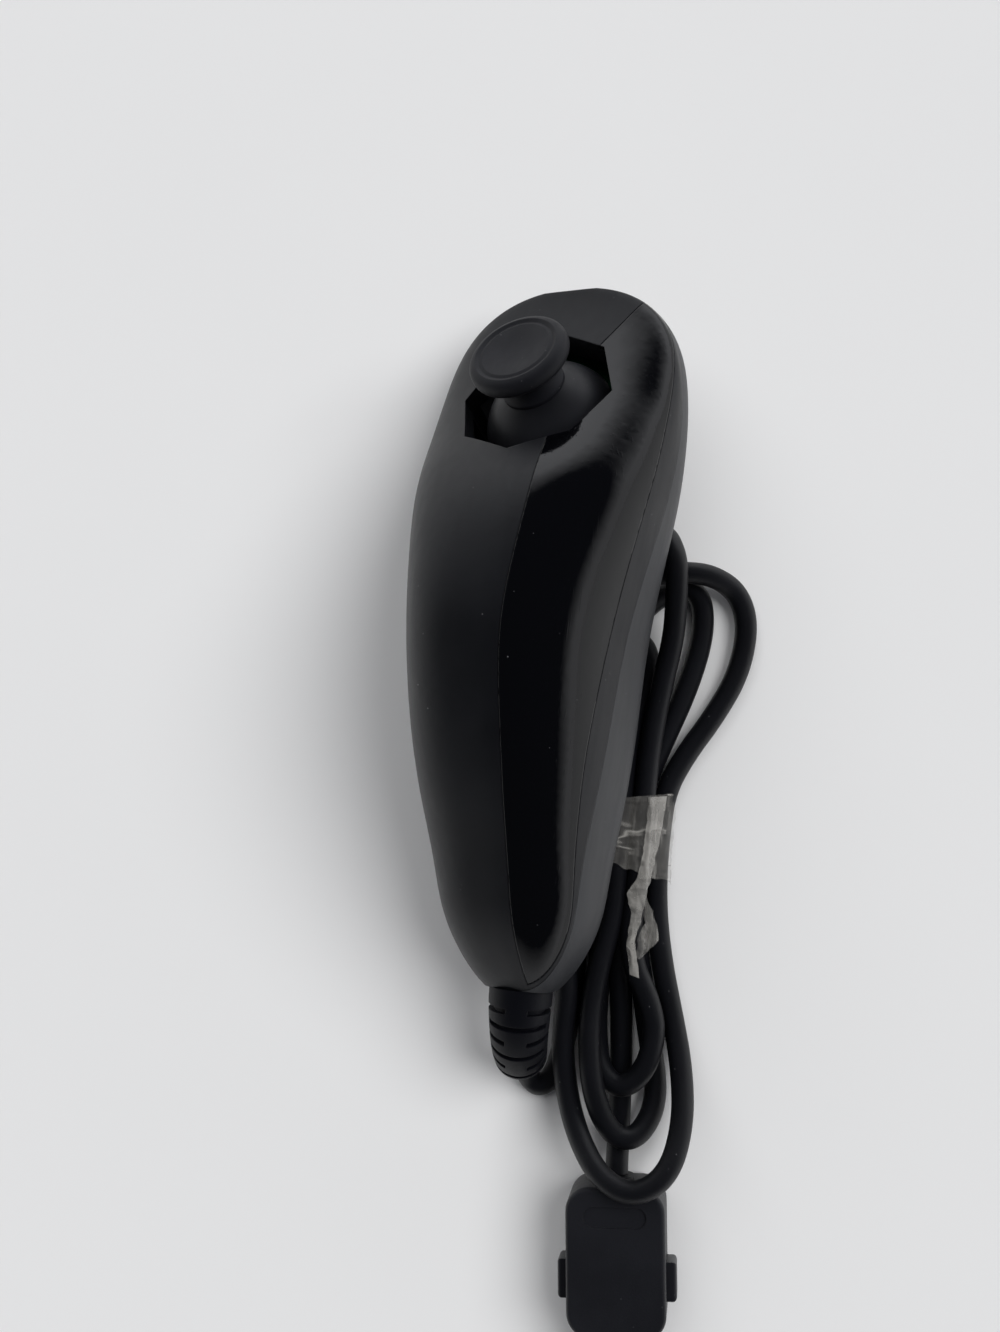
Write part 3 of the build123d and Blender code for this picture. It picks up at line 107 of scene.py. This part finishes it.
inner_end_loop = [
    (15.0, -36.0, 5.5), (15.8, -42.0, 5.6), (18.3, -46.4, 5.6), (19.9, -51.6, 5.6),
    (18.6, -57.6, 5.5), (15.2, -60.6, 5.6), (11.8, -58.4, 4.6), (10.6, -52.8, 2.0),
    (10.5, -46.0, 1.8), (10.5, -40.0, 2.0), (9.3, -34.0, 4.4),
]
third_top_loop = [
    (9.0, -28.0, 5.5), (9.0, -20.0, 5.4), (9.2, -11.0, 5.3), (9.4, -3.0, 5.3), (10.2, 5.0, 5.3),
    (13.0, 11.4, 4.6), (16.6, 15.2, 1.9), (20.2, 16.8, 1.8), (22.8, 14.6, 1.8), (23.2, 8.6, 1.8),
    (21.2, 0.4, 1.8), (18.0, -8.0, 1.8), (15.2, -15.6, 1.9), (14.9, -22.0, 1.9), (14.9, -29.0, 1.9),
]
middle_end_loop = [
    (15.2, -36.0, 1.9), (16.6, -42.0, 1.9), (17.8, -48.0, 1.8), (19.0, -54.0, 1.8),
    (20.4, -60.0, 1.9), (20.0, -64.4, 3.4), (17.6, -67.8, 5.6), (14.2, -67.2, 6.2),
    (11.4, -62.0, 7.8), (10.1, -55.0, 7.2), (9.9, -48.0, 5.6), (10.9, -41.0, 5.5),
    (12.4, -34.6, 5.5),
]
hidden_top_loop = [
    (12.4, -28.0, 5.4), (12.4, -21.0, 5.4), (12.5, -14.0, 5.2), (13.1, -7.0, 4.2),
    (14.8, -1.4, 2.3), (15.4, 3.4, 1.8), (14.2, 7.4, 1.8), (10.8, 7.8, 1.8), (9.5, 3.6, 1.8),
    (10.0, -3.0, 1.8), (11.0, -10.0, 1.8), (11.4, -18.0, 1.9), (11.4, -28.0, 1.9),
]
tail = [
    (11.8, -34.0, 1.8), (13.3, -40.4, 1.8), (14.1, -47.0, 1.8), (14.7, -55.0, 1.8),
    (15.0, -62.0, 1.8), (15.1, -68.4, 1.8), (15.25, -70.6, 4.4), (15.34, -73.1, 4.7),
]
route = (lead + first_top_loop + outer_end_loop + second_top_loop + inner_end_loop
         + third_top_loop + middle_end_loop + hidden_top_loop + tail)

# The cord itself: the curve's depth is 1, and each point's radius gives the thickness
cord_data = bpy.data.curves.new("cord", "CURVE")
cord_data.dimensions = "3D"
cord_data.bevel_depth = 1.0
cord_data.bevel_resolution = 6
cord_data.resolution_u = 10
cord_data.use_fill_caps = True
cord_line = cord_data.splines.new("NURBS")
cord_line.points.add(len(route) - 1)
for point, spot in zip(cord_line.points, route):
    point.co = (*place(*spot), 1.0)
    point.radius = CORD_DIAMETER / 2 * MM
cord_line.order_u = 3
cord_line.use_endpoint_u = True
cord = link("cord", cord_data)
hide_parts("cord_lead", "cord_hank", "cord_tail")


# Building blocks of the materials
def new_material(name):
    """An empty material, its node tree and its shader."""
    made = bpy.data.materials.new(name)
    made.use_nodes = True
    return made, made.node_tree, made.node_tree.nodes["Principled BSDF"]


def spots(tree, stretch=(1.0, 1.0, 1.0)):
    """Places on the object, stretched along its axes."""
    source = tree.nodes.new("ShaderNodeTexCoord")
    mapping = tree.nodes.new("ShaderNodeMapping")
    mapping.inputs["Scale"].default_value = stretch
    tree.links.new(source.outputs["Object"], mapping.inputs["Vector"])
    return mapping.outputs["Vector"]


def cloud(tree, vector, size, detail=3.0):
    """Soft noise whose patches measure about size millimetres."""
    texture = tree.nodes.new("ShaderNodeTexNoise")
    texture.inputs["Scale"].default_value = 1 / (size * MM)
    texture.inputs["Detail"].default_value = detail
    tree.links.new(vector, texture.inputs["Vector"])
    return texture.outputs["Fac"]


def spread(tree, value, low, high, first, last):
    """A value taken from the range low to high into the range first to last."""
    mapping = tree.nodes.new("ShaderNodeMapRange")
    mapping.inputs["From Min"].default_value = low
    mapping.inputs["From Max"].default_value = high
    mapping.inputs["To Min"].default_value = first
    mapping.inputs["To Max"].default_value = last
    tree.links.new(value, mapping.inputs["Value"])
    return mapping.outputs["Result"]


def specks(tree, vector, size, share):
    """White where a small speck lies, one to a cell of size millimetres, soft at its rim."""
    soft_rim = 1.6
    texture = tree.nodes.new("ShaderNodeTexVoronoi")
    texture.inputs["Scale"].default_value = 1 / (size * MM)
    tree.links.new(vector, texture.inputs["Vector"])
    return spread(tree, texture.outputs["Distance"], share * soft_rim, share, 0.0, 1.0)


def sums(tree, operation, first, second):
    """Two values put together."""
    node = tree.nodes.new("ShaderNodeMath")
    node.operation = operation
    for socket, value in zip(node.inputs, (first, second)):
        if isinstance(value, float):
            socket.default_value = value
        else:
            tree.links.new(value, socket)
    return node.outputs["Value"]


def mixed(tree, factor, first, second):
    """A colour between two, each a colour or an output."""
    node = tree.nodes.new("ShaderNodeMix")
    node.data_type = "RGBA"
    tree.links.new(factor, node.inputs["Factor"])
    for socket, value in ((node.inputs["A"], first), (node.inputs["B"], second)):
        if isinstance(value, tuple):
            socket.default_value = (*value, 1.0)
        else:
            tree.links.new(value, socket)
    return node.outputs["Result"]


def raise_surface(tree, shader, height, depth, rounding=0.0):
    """Bumps of a depth in millimetres, on edges rounded by a radius in millimetres."""
    bump = tree.nodes.new("ShaderNodeBump")
    bump.inputs["Strength"].default_value = 1.0
    bump.inputs["Distance"].default_value = depth * MM
    tree.links.new(height, bump.inputs["Height"])
    if rounding:
        edge = tree.nodes.new("ShaderNodeBevel")
        edge.samples = 4
        edge.inputs["Radius"].default_value = rounding * MM
        tree.links.new(edge.outputs["Normal"], bump.inputs["Normal"])
    tree.links.new(bump.outputs["Normal"], shader.inputs["Normal"])


def moulded(name, colour, roughness, grain=0.25, depth=0.012, dust=0.35, dust_cell=2.2, rounding=0.25,
            specular=0.5):
    """Moulded plastic: a fine grain, patches of wear, faint rubs along its length and dust."""
    wear_size = 14.0
    rub_width = 1.1
    dust_size = 9.0
    dust_share = 0.035
    dust_colour = (0.32, 0.32, 0.33)
    made, tree, shader = new_material(name)
    even = spots(tree)
    wear = cloud(tree, even, wear_size)
    rubs = cloud(tree, spots(tree, (1.0, 0.12, 1.0)), rub_width, 5.0)
    darker = tuple(0.8 * part for part in colour)
    lighter = tuple(1.25 * part for part in colour)
    body = mixed(tree, spread(tree, wear, 0.35, 0.65, 0.0, 1.0), darker, lighter)
    seen = sums(tree, "MULTIPLY", specks(tree, even, dust_cell, dust_share),
                spread(tree, cloud(tree, even, dust_size), 0.45, 0.7, 0.0, dust))
    tree.links.new(mixed(tree, seen, body, dust_colour), shader.inputs["Base Color"])
    rough = sums(tree, "ADD", spread(tree, wear, 0.3, 0.7, roughness - 0.05, roughness + 0.05),
                 spread(tree, rubs, 0.4, 0.75, 0.0, -0.05))
    tree.links.new(rough, shader.inputs["Roughness"])
    shader.inputs["Specular IOR Level"].default_value = specular
    raise_surface(tree, shader, cloud(tree, even, grain, 4.0), depth, rounding)
    return made


def polished(name, colour):
    """Polished black plastic with smears, hair scratches, slight waves and a little dust."""
    smear_size = 7.0
    scratch_width = 0.35
    wave_size = 9.0
    wave_depth = 0.012
    dust_size = 11.0
    dust_cell = 2.6
    dust_share = 0.03
    dust_colour = (0.30, 0.30, 0.32)
    made, tree, shader = new_material(name)
    even = spots(tree)
    smears = cloud(tree, spots(tree, (1.0, 0.4, 1.0)), smear_size, 5.0)
    scratches = cloud(tree, spots(tree, (1.0, 0.03, 1.0)), scratch_width, 2.0)
    seen = sums(tree, "MULTIPLY", specks(tree, even, dust_cell, dust_share),
                spread(tree, cloud(tree, even, dust_size), 0.5, 0.7, 0.0, 0.5))
    tree.links.new(mixed(tree, seen, colour, dust_colour), shader.inputs["Base Color"])
    tree.links.new(spread(tree, smears, 0.35, 0.75, 0.03, 0.11), shader.inputs["Roughness"])
    shader.inputs["Specular IOR Level"].default_value = 0.42
    height = sums(tree, "ADD", spread(tree, scratches, 0.62, 0.75, 0.0, 0.35),
                  spread(tree, cloud(tree, even, wave_size, 2.0), 0.0, 1.0, 0.0, 1.0))
    raise_surface(tree, shader, height, wave_depth, 0.2)
    return made


def metal(name, colour, roughness, size=1.2):
    """Plain metal with turned or drawn marks."""
    mark_depth = 0.01
    made, tree, shader = new_material(name)
    marks = cloud(tree, spots(tree, (1.0, 0.2, 1.0)), size, 6.0)
    darker = tuple(0.75 * part for part in colour)
    tree.links.new(mixed(tree, marks, darker, colour), shader.inputs["Base Color"])
    rough = spread(tree, marks, 0.3, 0.7, roughness - 0.08, roughness + 0.1)
    tree.links.new(rough, shader.inputs["Roughness"])
    shader.inputs["Metallic"].default_value = 1.0
    raise_surface(tree, shader, marks, mark_depth)
    return made


# Body: matte upper shell, satin lower shell, gloss panel
matte_black = moulded("matte_black", (0.0050, 0.0053, 0.0068), 0.46, dust=0.55, specular=0.4)
# Lower shell: its grey is lighter than the upper shell's, partly its own moulding and partly painted light
# reflected from the floor
side_black_and_painted_floor_light = moulded("moulded_side_and_painted_floor_light", (0.022, 0.023, 0.026), 0.48, grain=0.3, dust=0.3)
gloss_black = polished("gloss_black", (0.0012, 0.0013, 0.0019))

# Stick: soft cap and satin dome, both dusty
stick_black = moulded("stick_rubber", (0.0080, 0.0083, 0.0105), 0.60, grain=0.18, depth=0.02, dust=0.8,
                      dust_cell=1.2, specular=0.38)
dome_black = moulded("dome_satin", (0.0085, 0.0088, 0.0108), 0.50, grain=0.3, depth=0.006, dust=0.7,
                     dust_cell=1.6)

# Strain relief and cord jacket
relief_black = moulded("soft_sleeve", (0.0030, 0.0032, 0.0048), 0.55, grain=0.35, depth=0.02, dust=0.6,
                       dust_cell=1.4, specular=0.3)
jacket_black = moulded("cord_jacket", (0.0040, 0.0042, 0.0055), 0.50, grain=0.4, depth=0.03, dust=0.75,
                       dust_cell=1.5, rounding=0.0)

# Buttons, their frame and the connector's latches
button_black = moulded("button_satin", (0.0090, 0.0092, 0.0115), 0.36, dust=0.3)

# Inside: plain mouldings, chips, boards, ribbons, wires, pads and metal
grey_plastic = moulded("grey_plastic", (0.16, 0.16, 0.165), 0.5, dust=0.1)
chip_black = moulded("chip_black", (0.016, 0.016, 0.017), 0.6, grain=0.1, dust=0.1, rounding=0.0)
board_green = moulded("circuit_board", (0.010, 0.075, 0.032), 0.38, grain=0.6, dust=0.1, rounding=0.0)
board_dark = moulded("dark_board", (0.003, 0.007, 0.005), 0.45, grain=0.6, dust=0.1, rounding=0.0)
ribbon_amber = moulded("amber_ribbon", (0.15, 0.070, 0.018), 0.3, grain=0.8, dust=0.05, rounding=0.0)
wire_jacket = moulded("wire_jacket", (0.30, 0.045, 0.04), 0.42, dust=0.05, rounding=0.0)
pad_rubber = moulded("rubber_pad", (0.055, 0.055, 0.06), 0.7, dust=0.1, rounding=0.0)
steel = metal("steel", (0.58, 0.58, 0.60), 0.32)
gold_plate = metal("plated_contact", (0.83, 0.62, 0.27), 0.24, 0.8)


# Connector shells: a matte moulding with a parting line half way up its sides
def plug_plastic():
    """Moulded black with a thin dark line where the two halves meet."""
    line_height = 5.2
    line_inside = 0.10
    line_outside = 0.18
    line_colour = (0.002, 0.002, 0.002)
    made = moulded("plug_plastic", (0.0085, 0.0088, 0.0110), 0.5, grain=0.3, depth=0.02, dust=0.5)
    tree = made.node_tree
    shader = tree.nodes["Principled BSDF"]
    height = tree.nodes.new("ShaderNodeSeparateXYZ")
    tree.links.new(spots(tree), height.inputs["Vector"])
    away = sums(tree, "ABSOLUTE", sums(tree, "SUBTRACT", height.outputs["Z"], line_height * MM), 0.0)
    line = spread(tree, away, line_inside * MM, line_outside * MM, 1.0, 0.0)
    before = shader.inputs["Base Color"].links[0].from_socket
    tree.links.new(mixed(tree, line, before, line_colour), shader.inputs["Base Color"])
    return made


# Every solid's finish
finishes = [
    (matte_black, ["upper_shell"]),
    (side_black_and_painted_floor_light, ["lower_shell"]),
    (gloss_black, ["gloss_panel"]),
    (stick_black, ["stick_cap"]),
    (dome_black, ["stick_dome"]),
    (relief_black, ["strain_relief"]),
    (button_black, ["c_button", "z_button", "button_frame", "latch_left", "latch_right"]),
    (jacket_black, ["inner_cord", "plug_grommet", "plug_core", "cord_lead", "cord_hank", "cord_tail"]),
    (grey_plastic, ["tilt_yoke", "swing_yoke", "stick_shaft", "return_plate", "centring_ring", "cord_clamp",
                    "plug_tongue", "cord_socket"]),
    (chip_black, ["motion_sensor", "controller_chip", "board_components", "tilt_sensor", "swing_sensor"]),
    (board_green, ["main_board", "button_board", "plug_board"]),
    (board_dark, ["stick_board"]),
    (ribbon_amber, ["stick_ribbon", "button_ribbon"]),
    (wire_jacket, ["cord_wires"]),
    (pad_rubber, ["c_button_pad", "z_button_pad"]),
    (steel, ["stick_module", "module_base", "cross_pin", "z_hinge_pin", "case_screws", "board_screws",
             "stick_screws"]),
    (gold_plate, ["plug_contacts"]),
    (plug_plastic(), ["plug_lower_shell", "plug_upper_shell"]),
]
for finish, names in finishes:
    for name in names:
        for material_slot in nodes[name].material_slots:
            material_slot.material = finish
cord_data.materials.append(jacket_black)

# Rubber pad behind the upper button, on its own copy of the mesh
pad = link("c_button_soft_pad", nodes["c_button_pad"].data.copy())
pad.data.materials.clear()
pad.data.materials.append(pad_rubber)
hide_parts("c_button_pad")
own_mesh(pad)


# Clear tape round the waist of the hank
def film(name, milkiness, crease_strength):
    """Clear film: milkier where it lies double, pale in its creases and lengthwise streaks."""
    streak_width = 1.3
    crease_size = 4.0
    crumple_size = 5.0
    haze_size = 2.5
    gloss_size = 2.0
    film_colour = (0.50, 0.485, 0.455, 1.0)
    film_index = 1.5
    crease_depth = 0.2
    made, tree, shader = new_material(name)
    even = spots(tree)
    streaks = cloud(tree, spots(tree, (1.0, 0.18, 1.0)), streak_width, 4.0)
    creases = cloud(tree, spots(tree, (0.4, 1.2, 0.4)), crease_size, 2.0)
    ridge = sums(tree, "ABSOLUTE", sums(tree, "SUBTRACT", creases, 0.5), 0.0)
    crumpled = spread(tree, cloud(tree, even, crumple_size, 1.0), 0.50, 0.60, 0.0, crease_strength)
    lines = sums(tree, "MULTIPLY", spread(tree, ridge, 0.0, 0.03, 1.0, 0.0), crumpled)
    haze = spread(tree, cloud(tree, even, haze_size), 0.3, 0.7, 0.75 * milkiness, 1.25 * milkiness)
    veil = sums(tree, "ADD", haze, spread(tree, streaks, 0.52, 0.74, 0.0, 0.26))
    tree.links.new(sums(tree, "ADD", veil, lines), shader.inputs["Alpha"])
    shader.inputs["Base Color"].default_value = film_colour
    shader.inputs["IOR"].default_value = film_index
    rough = spread(tree, cloud(tree, even, gloss_size), 0.3, 0.7, 0.12, 0.34)
    tree.links.new(rough, shader.inputs["Roughness"])
    height = sums(tree, "ADD", streaks, spread(tree, ridge, 0.0, 0.10, 1.0, 0.0))
    raise_surface(tree, shader, height, crease_depth)
    return made


clear_film = film("clear_film", 0.13, 0.5)
double_film = film("double_film", 0.42, 0.3)
thin_film = film("thin_film", 0.20, 0.3)

# The strands that the tape ties, seen along the cord: places across the bundle and heights
TAPE_GAP = 0.22
TAPE_REACH = CORD_DIAMETER / 2 + TAPE_GAP
OUTLINE_STEPS = 720
low_strands = [(4.3, 1.9), (7.9, 1.9), (11.4, 1.9), (14.9, 1.9), (18.5, 1.9)]
high_strands = [(9.0, 5.4), (12.4, 5.4), (15.8, 5.4)]


def wrap_outline(count):
    """Even places round the tied strands, seen along the cord."""
    corners = []
    for step in range(OUTLINE_STEPS):
        angle = 2 * math.pi * step / OUTLINE_STEPS
        way = Vector((math.cos(angle), math.sin(angle)))
        far = max(low_strands + high_strands, key=lambda strand: way.dot(Vector(strand)))
        corners.append(Vector(far) + way * TAPE_REACH)
    lengths = [(after - before).length for before, after in zip(corners, corners[1:] + corners[:1])]
    total = sum(lengths)
    outline = []
    walked = 0.0
    step = 0
    for mark in range(count):
        target = total * mark / count
        while walked + lengths[step] < target:
            walked += lengths[step]
            step += 1
        share = (target - walked) / lengths[step]
        outline.append(corners[step].lerp(corners[(step + 1) % len(corners)], share))
    return outline


def bundle_top(x):
    """Height of the wrapped strands at a place across them."""
    last_high = Vector(high_strands[-1])
    last_low = Vector(low_strands[-1])
    slope = (last_low - last_high).normalized()
    out = Vector((-slope.y, slope.x)) * TAPE_REACH
    start = last_high + out
    if x <= start.x:
        return last_high.y + TAPE_REACH
    return max(start.y + (x - start.x) * slope.y / slope.x, last_low.y)


def crumple(spot, strength):
    """A small push for wrinkled film, in millimetres."""
    rough = noise.noise(Vector((spot[0] * 0.55, spot[1] * 0.28, spot[2] * 0.55)))
    fine = noise.noise(Vector((spot[0] * 1.4 + 7.0, spot[1] * 1.1, spot[2] * 1.4)))
    return strength * (rough + 0.5 * fine)


def mesh_object(name, points, faces):
    """A smooth mesh from places on the table."""
    data = bpy.data.meshes.new(name)
    data.from_pydata([place(*point) for point in points], [], faces)
    data.shade_smooth()
    return link(name, data)


def tape_band():
    """The wrapped part: a closed band whose lower edge is torn and droops to the right."""
    columns = 150
    rows = 26
    middle = Vector((11.4, 3.2))
    top_y = -16.9
    top_slope = 0.16
    top_middle = 12.9
    low_y = -26.9
    droop = 0.3
    droop_start = 12.0
    tear = 0.45
    tear_rate = 0.7
    tear_seed = 3.0
    wrinkle = 0.4
    lowest = 0.04
    outline = wrap_outline(columns)
    points = []
    for row in range(rows + 1):
        for spot in outline:
            share = row / rows
            top = top_y + top_slope * (spot.x - top_middle)
            torn = tear * noise.noise(Vector((spot.x * tear_rate, spot.y * tear_rate, tear_seed)))
            low = low_y - droop * max(spot.x - droop_start, 0.0) + torn
            y = top + (low - top) * share
            way = (spot - middle).normalized()
            push = abs(crumple((spot.x, y, spot.y), wrinkle))
            out = spot + way * push
            points.append((out.x, y, max(out.y, lowest)))
    faces = []
    for row in range(rows):
        for column in range(columns):
            after = (column + 1) % columns
            first = row * columns
            faces.append((first + column, first + after, first + columns + after, first + columns + column))
    return mesh_object("tape_band", points, faces)


def along(edge, share):
    """A place on a line of points, at a share of the way along them."""
    spot = share * (len(edge) - 1)
    step = min(int(spot), len(edge) - 2)
    return Vector(edge[step]).lerp(Vector(edge[step + 1]), spot - step)


def torn_strip(name, left, right, twist):
    """A torn strip that lies on the strands, between two edges that run from the band down."""
    rows = 60
    columns = 10
    lift = 0.45
    fray = 0.2
    wrinkle = 0.5
    points = []
    for row in range(rows + 1):
        share = row / rows
        start = along(left, share)
        end = along(right, share)
        for column in range(columns + 1):
            across = column / columns
            spot = start.lerp(end, across)
            ragged = 0.0
            if column in (0, columns):
                ragged = fray * noise.noise(Vector((spot.x, spot.y, twist)))
            curl = twist * math.sin(math.pi * across) + abs(crumple((spot.x, spot.y, twist), wrinkle))
            points.append((spot.x + ragged, spot.y, bundle_top(spot.x) + lift + curl))
    faces = []
    for row in range(rows):
        for column in range(columns):
            first = row * (columns + 1) + column
            faces.append((first, first + 1, first + columns + 2, first + columns + 1))
    return mesh_object(name, points, faces)


band = tape_band()
tail_left = torn_strip(
    "tape_torn_left",
    left=[(16.5, -16.6), (16.6, -20.2), (16.3, -24.8), (15.8, -28.3), (14.3, -31.3), (15.1, -34.1),
          (14.7, -38.7), (15.6, -43.2)],
    right=[(19.3, -16.2), (18.9, -20.5), (18.3, -24.7), (17.8, -27.9), (17.2, -31.5), (16.8, -34.2),
           (15.9, -38.4), (17.0, -43.6)],
    twist=0.2)
tail_right = torn_strip(
    "tape_torn_right",
    left=[(15.6, -31.0), (16.6, -33.0), (17.3, -35.2), (16.3, -38.0), (16.2, -40.2)],
    right=[(17.2, -31.3), (18.3, -34.0), (19.1, -36.3), (19.5, -38.0), (16.7, -40.9)],
    twist=0.35)
for piece, finish in ((band, clear_film), (tail_left, double_film), (tail_right, thin_film)):
    piece.data.materials.append(finish)
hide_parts("tape_tie")

# Table: a pale plain floor
FLOOR_HALF = 3.0
FLOOR_PATCH = 60.0
FLOOR_DARKER = (0.83, 0.83, 0.832)
FLOOR_LIGHTER = (0.85, 0.85, 0.852)
floor_data = bpy.data.meshes.new("floor")
floor_data.from_pydata([(-FLOOR_HALF, -FLOOR_HALF, 0.0), (FLOOR_HALF, -FLOOR_HALF, 0.0),
                        (FLOOR_HALF, FLOOR_HALF, 0.0), (-FLOOR_HALF, FLOOR_HALF, 0.0)], [], [(0, 1, 2, 3)])
floor = bpy.data.objects.new("floor", floor_data)
collection.objects.link(floor)
floor_paint, floor_tree, floor_shader = new_material("floor_paint")
floor_cloud = cloud(floor_tree, spots(floor_tree), FLOOR_PATCH)
floor_tree.links.new(mixed(floor_tree, floor_cloud, FLOOR_DARKER, FLOOR_LIGHTER),
                     floor_shader.inputs["Base Color"])
floor_shader.inputs["Roughness"].default_value = 0.7
floor_data.materials.append(floor_paint)


# Light: two far soft lamps, right and behind, that light the matte parts and leave no shape in the gloss
def lamp(name, direction, softness, strength):
    """A far lamp in a direction, as wide across the sky as its softness in degrees."""
    data = bpy.data.lights.new(name, "SUN")
    data.angle = math.radians(softness)
    data.energy = strength
    made = bpy.data.objects.new(name, data)
    collection.objects.link(made)
    made.location = direction
    made.rotation_euler = (-Vector(direction)).to_track_quat("-Z", "Y").to_euler()
    made.visible_glossy = False


lamp("key_lamp", (1.0, 0.4, 1.3), softness=42.0, strength=2.2)
lamp("back_lamp", (-0.6, 1.2, 1.5), softness=60.0, strength=1.15)

# Room: pale at the horizon, brightest behind, and dark overhead
ROOM_LEFT = (0.50, 0.505, 0.52)
ROOM_RIGHT = (0.82, 0.825, 0.85)
ROOM_BEHIND = (1.40, 1.42, 1.48)
ROOM_OVERHEAD = (0.035, 0.037, 0.043)
BEHIND_RISE = 0.15
world = bpy.data.worlds.new("room")
world.use_nodes = True
bpy.context.scene.world = world
room = world.node_tree
background = room.nodes["Background"]
looking = room.nodes.new("ShaderNodeTexCoord")
split = room.nodes.new("ShaderNodeSeparateXYZ")
room.links.new(looking.outputs["Generated"], split.inputs["Vector"])
behind = sums(room, "MAXIMUM", split.outputs["Y"], 0.0)
to_right = spread(room, split.outputs["X"], -0.6, 0.8, 0.0, 1.0)
left_to_right = mixed(room, to_right, ROOM_LEFT, ROOM_RIGHT)
horizon = mixed(room, spread(room, behind, 0.25, 0.95, 0.0, 1.0), left_to_right, ROOM_BEHIND)
raised = sums(room, "SUBTRACT", split.outputs["Z"], sums(room, "MULTIPLY", behind, BEHIND_RISE))
overhead = spread(room, raised, 0.10, 0.34, 0.0, 1.0)
room.links.new(mixed(room, overhead, horizon, ROOM_OVERHEAD), background.inputs["Color"])
background.inputs["Strength"].default_value = 1.0

# View settings
bpy.context.scene.view_settings.view_transform = "Standard"
bpy.context.view_layer.update()
